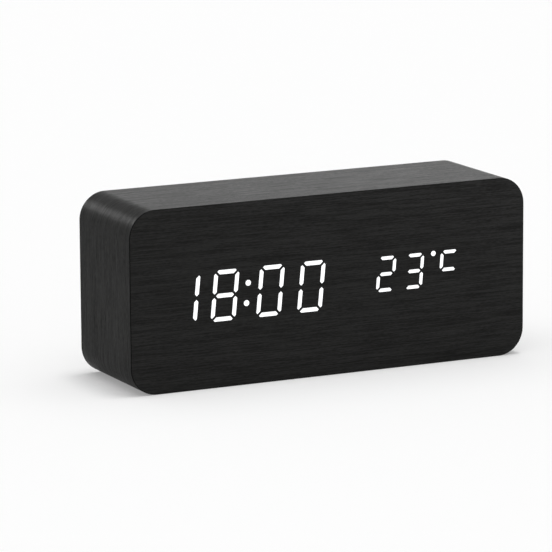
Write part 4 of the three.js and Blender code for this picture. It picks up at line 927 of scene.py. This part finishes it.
# %% The ribbon between the boards
RIBBON_WIRES, STEPS_PER_WIRE, RIBBON_SLICES = 9, 6, 48
RIBBON_STRAIGHT, RIBBON_SWAY = 2.1 * MM, 2.4 * MM
RIBBON_HALF = 0.3 * MM
RIBBON_GROOVE, RIBBON_RIDGE = 0.9, 1.2
SLOPE_STEP = 0.05 * MM

ribbon_low, ribbon_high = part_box("ribbon_cable")
ribbon_width = ribbon_high.z - ribbon_low.z
socket_from = centre_of("ribbon_socket_display").x
socket_to = centre_of("ribbon_socket_buttons").x
ribbon = block(
    "flat_ribbon",
    (socket_from - RIBBON_HALF, ribbon_low.y, ribbon_low.z),
    (socket_from + RIBBON_HALF, ribbon_high.y, ribbon_high.z),
)
pick(ribbon, "edges", lambda edge: runs_along(edge, 1))
bpy.ops.mesh.subdivide(number_cuts=RIBBON_SLICES - 1)
pick(ribbon, "edges", lambda edge: runs_along(edge, 2))
bpy.ops.mesh.subdivide(number_cuts=RIBBON_WIRES * STEPS_PER_WIRE - 1)
select_nothing()


def ribbon_line(y):
    """Where the ribbon's middle runs, from one socket's plane over to the other's."""
    free = ribbon_high.y - ribbon_low.y - 2 * RIBBON_STRAIGHT
    share = min(max((y - ribbon_low.y - RIBBON_STRAIGHT) / free, 0), 1)
    ease = (1 - math.cos(share * math.pi)) / 2
    bend = RIBBON_SWAY * math.sin(2 * math.pi * share) * math.sin(math.pi * share) ** 2
    return socket_from + (socket_to - socket_from) * ease + bend


for vertex in ribbon.data.vertices:
    y = vertex.co.y
    slope = (ribbon_line(y + SLOPE_STEP) - ribbon_line(y - SLOPE_STEP)) / (2 * SLOPE_STEP)
    sideways = Vector((1, -slope)).normalized()
    wave = abs(math.sin(RIBBON_WIRES * math.pi * (vertex.co.z - ribbon_low.z) / ribbon_width))
    offset = (vertex.co.x - socket_from) * (RIBBON_GROOVE + (RIBBON_RIDGE - RIBBON_GROOVE) * wave)
    vertex.co.x = ribbon_line(y) + offset * sideways.x
    vertex.co.y = y + offset * sideways.y

flat = Finish("grey_vinyl", IOR=1.5, Roughness=0.42)
first_wire = flat.axis("Z") > ribbon_high.z - ribbon_width / RIBBON_WIRES
tint = flat.noise(flat.place(), 500.0)
grey = flat.blend(tint, (0.30, 0.31, 0.33), (0.38, 0.39, 0.41))
ribbon_sheath = flat.use(Base_Color=flat.blend(first_wire, grey, (0.35, 0.02, 0.015)))
finish_piece(ribbon, ribbon_sheath, "clock_body", "ribbon_cable", smooth=50)

# %% [markdown]
# ## The moulded back and its door
# Panel and door are moulded in matt black plastic. A mould leaves every edge very slightly
# round, and those fine rounded edges are what catches the light. The shapes are already
# right, so copies of the two nodes get a Bevel modifier at their sharp edges. Round holes
# and rims have few sides in the frame, so they are made again first, a hair wider, with
# turned tools: the old rims are cut away, new ones are joined on, and the holes are bored.
# The mould is spark-eroded, which gives the plastic its fine pebbled skin.

# %% Make the panel's rims and holes round
RIM_HEIGHT, RIM_RADIUS = 0.25 * MM, 5.34 * MM
HAIR = 0.02 * MM
RIM_CUT_DEPTH, RIM_FOOT_DEPTH = 0.5 * MM, 0.7 * MM
BORE_RADIUS, BORE_DEPTH = 4.32 * MM, 3 * MM
SOUND_RADIUS, SOUND_RING, SOUND_HOLES = 0.72 * MM, 2.6 * MM, 6
MICROPHONE_RADIUS = 0.82 * MM
RECESS_RADIUS, RECESS_DEPTH = 2.92 * MM, 1.52 * MM

rim_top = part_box("back_panel")[1].y
panel_face = rim_top - RIM_HEIGHT


def discs(radius, low, high, places):
    """Equal round discs from one depth to another, joined to one tool."""
    first = turned("tool", places[0], "Y", [(radius, low), (radius, high)])
    others = [repeat(first, "tool", shifted(place - places[0])) for place in places[1:]]
    alone(first)
    for disc in others:
        disc.select_set(True)
    if others:
        bpy.ops.object.join()
    return first


def ring_of(centre, radius, count):
    """Places round a centre, in the plane of the panel."""
    turns = (2 * math.pi * number / count for number in range(count))
    return [centre + radius * Vector((math.cos(turn), 0, math.sin(turn))) for turn in turns]


moulded_back = copy_of("back_panel", "moulded_back")
key_places = [centre_of(key + "_button") for key in caps]
sound_places = [centre_of("buzzer"), *ring_of(centre_of("buzzer"), SOUND_RING, SOUND_HOLES)]
screw_places = [centre_of(f"panel_screw_{number}") for number in range(1, 5)]
old_rims = discs(RIM_RADIUS - HAIR, panel_face - RIM_CUT_DEPTH, rim_top + MM, key_places)
take(moulded_back, old_rims, "DIFFERENCE")
new_rims = discs(RIM_RADIUS, panel_face - RIM_FOOT_DEPTH, rim_top, key_places)
take(moulded_back, new_rims, "UNION")
for radius, depth, places in (
    (BORE_RADIUS, BORE_DEPTH, key_places),
    (SOUND_RADIUS, BORE_DEPTH, sound_places),
    (MICROPHONE_RADIUS, BORE_DEPTH, [centre_of("microphone")]),
    (RECESS_RADIUS, RECESS_DEPTH, screw_places),
):
    take(moulded_back, discs(radius, panel_face - depth, panel_face + MM, places), "DIFFERENCE")
    print(len(places), "round holes of radius", round(radius / MM, 2), "mm")

# %% Soften the mouldings and give them their skin
MOULD_ROUNDING = 0.12 * MM

skin = Finish("moulded_skin", IOR=1.47)
pebbles = skin.noise(skin.place(), 4200.0, 2.0, 0.6)
flow = skin.noise(skin.place(scale=(1, 1, 0.4)), 60.0, 2.0)
moulded_skin = skin.use(
    Base_Color=skin.blend(flow, (0.0125, 0.0125, 0.0130), (0.0175, 0.0175, 0.0180)),
    Roughness=0.46 + 0.14 * pebbles,
    Normal=skin.bump(pebbles, 0.018 * MM),
)
moulded_door = copy_of("battery_door", "moulded_door")
for node, moulding, body in (
    ("back_panel", moulded_back, "clock_body"),
    ("battery_door", moulded_door, "door"),
):
    apply_modifier(
        moulding, "BEVEL", width=MOULD_ROUNDING, segments=2, limit_method="ANGLE",
        angle_limit=math.radians(50), use_clamp_overlap=False,
    )
    finish_piece(moulding, moulded_skin, body, node, smooth=45)
    apply_modifier(moulding, "WEIGHTED_NORMAL", keep_sharp=True, weight=100)

# %% [markdown]
# ## The board block and the pieces behind the face
# The frame's solids have the right shapes for these, so they stay, and only get finishes.
# The block is medium-density fibreboard: brown felted wood dust with pale and dark fibres.
# Its open back is black behind a given depth, where an eye could look in past the panel. The
# film on the border of the back is the same sheet as on the face. Behind the face lie a black
# card that keeps stray light in and the white moulded reflector.

# %% Fibreboard, card and reflector
BLACK_FROM = 17.6 * MM

fibreboard = Finish("fibreboard")
dust = fibreboard.noise(fibreboard.place(), 1600.0, 4.0, 0.7)
fibres = fibreboard.noise(fibreboard.place(scale=(0.25, 1, 1)), 900.0, 3.0, 0.7)
speckles = fibreboard.smooth_step(0.5 * dust + 0.5 * fibres, 0.38, 0.62)
brown = fibreboard.blend(speckles, (0.19, 0.115, 0.062), (0.36, 0.245, 0.15))
# The board's back edge is black behind this depth, where it shows past the panel.
black_back_edge = fibreboard.axis("Y") > BLACK_FROM
fibreboard.use(
    Base_Color=fibreboard.blend(black_back_edge, brown, (0.012, 0.012, 0.012)),
    Roughness=0.78 - 0.2 * black_back_edge,
    Normal=fibreboard.bump(dust, 0.03 * MM),
)
dress(fibreboard.material, "cabinet_core")
dress(border_film, "back_film")

card = Finish("black_card", IOR=1.4)
felt = card.noise(card.place(), 3000.0, 3.0, 0.65)
card.use(
    Base_Color=card.blend(felt, (0.014, 0.014, 0.015), (0.026, 0.026, 0.027)),
    Roughness=0.7 + 0.15 * felt,
    Normal=card.bump(felt, 0.01 * MM),
)
dress(card.material, "light_mask")

white = Finish("white_moulding", IOR=1.5)
flow_marks = white.noise(white.place(scale=(0.4, 1, 1)), 120.0, 3.0)
white.use(
    Base_Color=white.blend(flow_marks, (0.76, 0.76, 0.74), (0.84, 0.84, 0.83)),
    Roughness=0.3 + 0.12 * flow_marks,
)
dress(white.material, "segment_reflector")

# %% [markdown]
# ## The circuit boards
# A board is glass fibre under green lacquer. The copper tracks show through the lacquer as
# paler lines, and tinned rings mark the holes, whose middles are painted dark as the shade
# inside a hole. Brick courses make good tracks: their joints run straight and turn at right
# angles. Two sizes of courses lie on each other, and noise takes out patches, so that the
# lines start and end. The display board's lights stand proud of it, and by their depth they
# get a pale yellow of their own.

# %% Lacquer, tracks and lights
LIGHTS_FROM = -13.35 * MM
TRACK_SHARE = 0.105
RING_RADIUS, HOLE_RADIUS = 0.14, 0.07

lacquer = Finish("board_lacquer", IOR=1.5)
board_plane = lacquer.node(
    "ShaderNodeCombineXYZ", {}, {"X": lacquer.axis("X"), "Y": lacquer.axis("Z")}
)


def tracks(length, height):
    """The joints of a brickwork in the plane of the board."""
    sockets = {"Vector": board_plane, "Scale": 1.0, "Brick Width": length, "Row Height": height}
    sockets.update({"Mortar Size": TRACK_SHARE * height, "Mortar Smooth": 0.0})
    return lacquer.node("ShaderNodeTexBrick", {"offset": 0.37}, sockets, out="Fac")


left_out = lacquer.noise(lacquer.place(), 140.0, 1.0) > 0.5
copper = tracks(9.0 * MM, 1.3 * MM) * left_out + tracks(4.0 * MM, 2.1 * MM) * (1 - left_out)
holes = lacquer.node(
    "ShaderNodeTexVoronoi", {"voronoi_dimensions": "2D"},
    {"Vector": board_plane, "Scale": 260.0, "Randomness": 0.8}, out="Distance",
)
ring = (holes < RING_RADIUS) * (holes > HOLE_RADIUS)
# Painted shade: the middle of each ring is dark like the shade inside a hole.
hole_shade = holes < HOLE_RADIUS
lights = lacquer.axis("Y") < LIGHTS_FROM
stain = lacquer.noise(lacquer.place(), 220.0, 3.0)
green = lacquer.blend(stain, (0.010, 0.085, 0.030), (0.014, 0.110, 0.040))
tracked = lacquer.blend(copper, green, (0.030, 0.200, 0.075))
ringed = lacquer.blend(ring, tracked, (0.62, 0.60, 0.55))
# The dark hole colour here is painted shade.
shaded_holes = lacquer.blend(hole_shade, ringed, (0.02, 0.03, 0.02))
lacquer.use(
    Base_Color=lacquer.blend(lights, shaded_holes, (0.80, 0.74, 0.42)),
    Roughness=0.24 + 0.2 * stain,
    Metallic=ring * (1 - lights),
    Normal=lacquer.bump(copper, 0.02 * MM),
)
dress(lacquer.material, "display_board", "button_board")

# %% [markdown]
# ## What is soldered to the boards
# Chips are matt black resin with tinned feet. The crystal, the socket's shell and the
# microphone are drawn tin-plated sheet. The capacitor has a printed sleeve with a pale
# stripe on its negative side and a bare aluminium top. Each finish is one sum, and tests
# on the place split it where one solid holds two materials.

# %% Resin and tin
CHIP_BODY_HALF = 2.05 * MM
SOCKET_HALF_WIDTH, SOCKET_HALF_HEIGHT = 3.3 * MM, 1.0 * MM
MICROPHONE_INSIDE = 2.08 * MM

resin = Finish("chip_resin", IOR=1.5)
chip_middle = centre_of("clock_chip").z
feet = abs(resin.axis("Z") - chip_middle) > CHIP_BODY_HALF
blast = resin.noise(resin.place(), 6000.0, 2.0)
matt_black = resin.blend(blast, (0.012, 0.012, 0.013), (0.022, 0.022, 0.024))
resin.use(
    Base_Color=resin.blend(feet, matt_black, (0.62, 0.62, 0.62)),
    Metallic=feet,
    Roughness=0.55 - 0.25 * feet + 0.12 * blast,
    Normal=resin.bump(blast, 0.006 * MM),
)
dress(resin.material, "clock_chip", "led_driver_chip")


def tin(name, dark_part=None):
    """Tin-plated sheet, finely lined from drawing. dark_part gives 1 where black resin shows."""
    sheet = Finish(name, Metallic=1.0)
    drawn = sheet.noise(sheet.place(scale=(1, 0.12, 1)), 6000.0, 2.0)
    dull = sheet.noise(sheet.place(), 500.0, 3.0)
    colour = sheet.blend(dull, (0.56, 0.56, 0.57), (0.72, 0.72, 0.73))
    if dark_part:
        dark = dark_part(sheet)
        colour = sheet.blend(dark, colour, (0.020, 0.020, 0.022))
        sheet.use(Metallic=1 - dark)
    return sheet.use(
        Base_Color=colour, Roughness=0.2 + 0.16 * dull, Normal=sheet.bump(drawn, 0.003 * MM)
    )


def from_axis(finish, node):
    """The distance from the line that runs through a node's middle from front to back."""
    return finish.distance(finish.place(scale=(1, 0, 1), shift=-centre_of(node)))


def socket_inside(sheet):
    """The tongue and the floor of the power socket."""
    socket_middle = centre_of("usb_socket")
    across = abs(sheet.axis("X") - socket_middle.x) < SOCKET_HALF_WIDTH
    return across * (abs(sheet.axis("Z") - socket_middle.z) < SOCKET_HALF_HEIGHT)


def microphone_inside(sheet):
    """The black felt inside the microphone's rim."""
    return from_axis(sheet, "microphone") < MICROPHONE_INSIDE


dress(tin("crystal_shell"), "crystal_can")
dress(tin("socket_shell", socket_inside), "usb_socket")
dress(tin("microphone_shell", microphone_inside), "microphone")

# %% Capacitor and temperature sensor
SLEEVE_RIM, STRIPE_FROM = 0.4 * MM, 0.6
LEG_LENGTH = 1 * MM

can_print = Finish("capacitor_print", IOR=1.45)
can_middle = centre_of("filter_capacitor")
can_low, can_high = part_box("filter_capacitor")
can_radius = (can_high.x - can_low.x) / 2
inside_rim = from_axis(can_print, "filter_capacitor") < can_radius - SLEEVE_RIM
bare_top = inside_rim * (can_print.axis("Y") > can_high.y - SLEEVE_RIM)
stripe = can_print.axis("X") < can_middle.x - STRIPE_FROM * can_radius
sheen = can_print.noise(can_print.place(), 700.0)
striped = can_print.blend(stripe, (0.012, 0.016, 0.035), (0.42, 0.44, 0.50))
can_print.use(
    Base_Color=can_print.blend(bare_top, striped, (0.70, 0.71, 0.72)),
    Metallic=bare_top,
    Roughness=0.25 + 0.15 * sheen,
)
dress(can_print.material, "filter_capacitor")

bead = Finish("sensor_bead", IOR=1.55)
legs = bead.axis("Y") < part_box("thermistor")[0].y + LEG_LENGTH
droplet = bead.noise(bead.place(), 900.0)
bead.use(
    Base_Color=bead.blend(legs, (0.012, 0.013, 0.015), (0.60, 0.60, 0.60)),
    Metallic=legs,
    Roughness=0.16 + 0.12 * droplet,
    Normal=bead.bump(droplet, 0.04 * MM),
)
dress(bead.material, "thermistor")

# %% [markdown]
# ## Small moulded plastics
# Sockets, plug, plungers, buzzer, coin holder and switch bodies all come out of moulds, in
# different plastics. One recipe makes them: a base colour with faint clouds, a roughness
# that changes with them and a very fine skin. The switches also get their tinned cover by
# a test on depth.

# %% One recipe for small mouldings
COVER_DEPTH = 0.25 * MM


def moulded(name, dark, pale, roughness, metal_from=None):
    """Moulded plastic. Above metal_from, on the Y axis, it is a tinned cover."""
    plastic = Finish(name, IOR=1.5)
    clouds = plastic.noise(plastic.place(), 450.0, 2.0)
    fine = plastic.noise(plastic.place(), 5000.0, 2.0)
    colour = plastic.blend(clouds, dark, pale)
    rough = roughness + 0.12 * clouds
    if metal_from is not None:
        cover = plastic.axis("Y") > metal_from
        colour = plastic.blend(cover, colour, (0.64, 0.64, 0.65))
        rough = rough - 0.2 * cover
        plastic.use(Metallic=cover)
    return plastic.use(Base_Color=colour, Roughness=rough, Normal=plastic.bump(fine, 0.008 * MM))


nylon = moulded("natural_nylon", (0.60, 0.57, 0.50), (0.70, 0.68, 0.61), 0.38)
dress(nylon, "ribbon_socket_display", "ribbon_socket_buttons", "lead_plug")
cover_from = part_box("set_switch")[1].y - COVER_DEPTH
switch_body = moulded("switch_plastic", (0.014, 0.014, 0.015), (0.022, 0.022, 0.024), 0.42, cover_from)
dress(switch_body, "set_switch", "up_switch", "down_switch")
plunger_plastic = moulded("plunger_plastic", (0.52, 0.50, 0.46), (0.60, 0.58, 0.54), 0.32)
dress(plunger_plastic, "set_plunger", "up_plunger", "down_plunger")
buzzer_shell = moulded("buzzer_shell", (0.013, 0.013, 0.014), (0.020, 0.020, 0.021), 0.3)
dress(buzzer_shell, "buzzer")
holder_plastic = moulded("holder_moulding", (0.016, 0.016, 0.018), (0.026, 0.026, 0.029), 0.45)
dress(holder_plastic, "coin_cell_holder")

# %% The coin cell, faced on a lathe
RINGS_PER_METRE = 5000

coin = Finish("turned_steel", Metallic=1.0)
from_middle = from_axis(coin, "coin_cell")
rings = from_middle.math("SINE", 2 * math.pi * RINGS_PER_METRE * from_middle)
handled = coin.noise(coin.place(), 300.0, 3.0)
coin.use(
    Base_Color=coin.blend(handled, (0.58, 0.58, 0.59), (0.74, 0.74, 0.75)),
    Roughness=0.16 + 0.2 * handled,
    Normal=coin.bump(rings, 0.001 * MM),
)
dress(coin.material, "coin_cell")

# %% [markdown]
# ## The table and the world
# The photo shows a black block on a white table. More light could make the table white, but
# it would turn the black film grey. So a share of the table's white comes from within, which
# also leaves its shadow as pale as in the photo. The world is white for what the camera and
# reflections see, but gives less light than that, so that the shadow stays.

# %% Lay the table and set the world
TABLE_SIZE, TABLE_DROP = 8, 0.02 * MM
PAPER_WHITE = (0.985, 0.985, 0.985)
SHADE_LEFT_OUT = 0.27
SEEN, SHED = 1.0, 0.38

select_nothing()
bpy.ops.mesh.primitive_plane_add(size=TABLE_SIZE, location=(0, 0, -TABLE_DROP))
table = bpy.context.object
table.name = "table"
white_table = Finish("white_table", Roughness=0.9, Specular_IOR_Level=0.0)
white_table.use(Base_Color=PAPER_WHITE)
lit_from_within = white_table.node("ShaderNodeEmission", {}, {"Color": PAPER_WHITE})
seen_share = SHADE_LEFT_OUT * white_table.seen()
plain = Pattern(white_table, white_table.shader.outputs[0])
shares = {0: seen_share, 1: plain, 2: lit_from_within}
table_shader = white_table.node("ShaderNodeMixShader", {}, shares)
white_table.feed(white_table.tree.nodes["Material Output"].inputs["Surface"], table_shader)
table.data.materials.append(white_table.material)

world = bpy.data.worlds.new("studio")
bpy.context.scene.world = world
world.use_nodes = True
sky = Wiring(world.node_tree)
background = sky.tree.nodes["Background"]
sky.feed(background.inputs["Color"], (1, 1, 1))
sky.feed(background.inputs["Strength"], (SEEN - SHED) * sky.seen() + SHED)
print("the table keeps", 1 - SHADE_LEFT_OUT, "of the block's shadow")

# %% [markdown]
# ## The lamps
# A broad soft light comes from above. The shadow beside the left end is deeper and ends more
# sharply than it would give, so a narrow second light leans a little to the right. A black
# film shows mostly what it mirrors. Brighter lamps would wash it out, so three panels shine
# for reflections alone: one behind on the left draws the pale band round the left corner, a
# wide one behind on the right brightens the top, and a window on the right brightens the far
# end of the face.

# %% Hang the lamps
def lamp(name, kind, place, aim, strength, **settings):
    """A lamp at a place, turned towards its aim."""
    data = bpy.data.lights.new(name, kind)
    data.energy = strength
    for key, value in settings.items():
        setattr(data, key, value)
    light = bpy.data.objects.new(name, data)
    bpy.context.scene.collection.objects.link(light)
    light.location = place
    light.rotation_euler = (Vector(aim) - Vector(place)).to_track_quat("-Z", "Y").to_euler()
    return light


def mirrored(name, place, aim, strength, width, height):
    """A bright panel that only glossy surfaces show."""
    panel = lamp(name, "AREA", place, aim, strength, shape="RECTANGLE", size=width, size_y=height)
    panel.visible_camera = panel.visible_diffuse = False


lamp("broad_light", "SUN", (0, 0, 1.0), (0, 0, 0), 0.97, angle=math.radians(80))
lamp("narrow_light", "SUN", (0.10, -0.03, 1.0), (0, 0, 0), 0.98, angle=math.radians(14))
mirrored("strip_light", (-0.46, 1.32, 0.56), (0, 0, 0.05), 3.8, width=0.32, height=0.35)
mirrored("back_light", (0.89, 1.25, 0.39), (0, 0, 0.05), 2.38, width=1.05, height=0.60)
mirrored("window_light", (0.93, -0.755, 0.27), (0, 0, 0.03), 4.0, width=0.5, height=0.5)

# %% [markdown]
# ## The camera
# The camera could be moved by eye until the outlines agree. A perspective that is fitted to
# the block's outline in the photo comes closer, and it gives these numbers: how far the view
# is turned, lowered and rolled, how far away it starts, and the lens. Three directions,
# ahead, right and up, then make the camera's matrix.

# %% Stand the camera where the photo was taken from
VIEW_TURN, VIEW_DROP, VIEW_ROLL = 0.45374, 0.19585, -0.00652
VIEW_DISTANCE = 1383.8 * MM
VIEW_ASIDE, VIEW_BELOW = 9.72 * MM, 0.64 * MM
FOCAL_LENGTH, PHOTO_SIDE = 4006.84, 552
SENSOR_WIDTH = 36

ahead = Vector((
    math.sin(VIEW_TURN) * math.cos(VIEW_DROP),
    math.cos(VIEW_TURN) * math.cos(VIEW_DROP),
    -math.sin(VIEW_DROP),
))
level = Vector((math.cos(VIEW_TURN), -math.sin(VIEW_TURN), 0))
upward = level.cross(ahead)
right = math.cos(VIEW_ROLL) * level + math.sin(VIEW_ROLL) * upward
up = math.cos(VIEW_ROLL) * upward - math.sin(VIEW_ROLL) * level
camera_data = bpy.data.cameras.new("camera")
camera_data.sensor_width = SENSOR_WIDTH
camera_data.lens = SENSOR_WIDTH * FOCAL_LENGTH / PHOTO_SIDE
camera_data.clip_start, camera_data.clip_end = 0.01, 20
camera = bpy.data.objects.new("camera", camera_data)
bpy.context.scene.collection.objects.link(camera)
block_middle = (CAD_BOX[0][2] + CAD_BOX[1][2]) / 2
place = Vector((0, 0, block_middle)) - ahead * VIEW_DISTANCE - right * VIEW_ASIDE - up * VIEW_BELOW
facing = Matrix((right, up, -ahead)).transposed().to_4x4()
camera.matrix_world = Matrix.Translation(place) @ facing
bpy.context.scene.camera = camera
bpy.context.scene.view_settings.view_transform = "Standard"
print("camera at", [round(value / MM) for value in place], "mm")
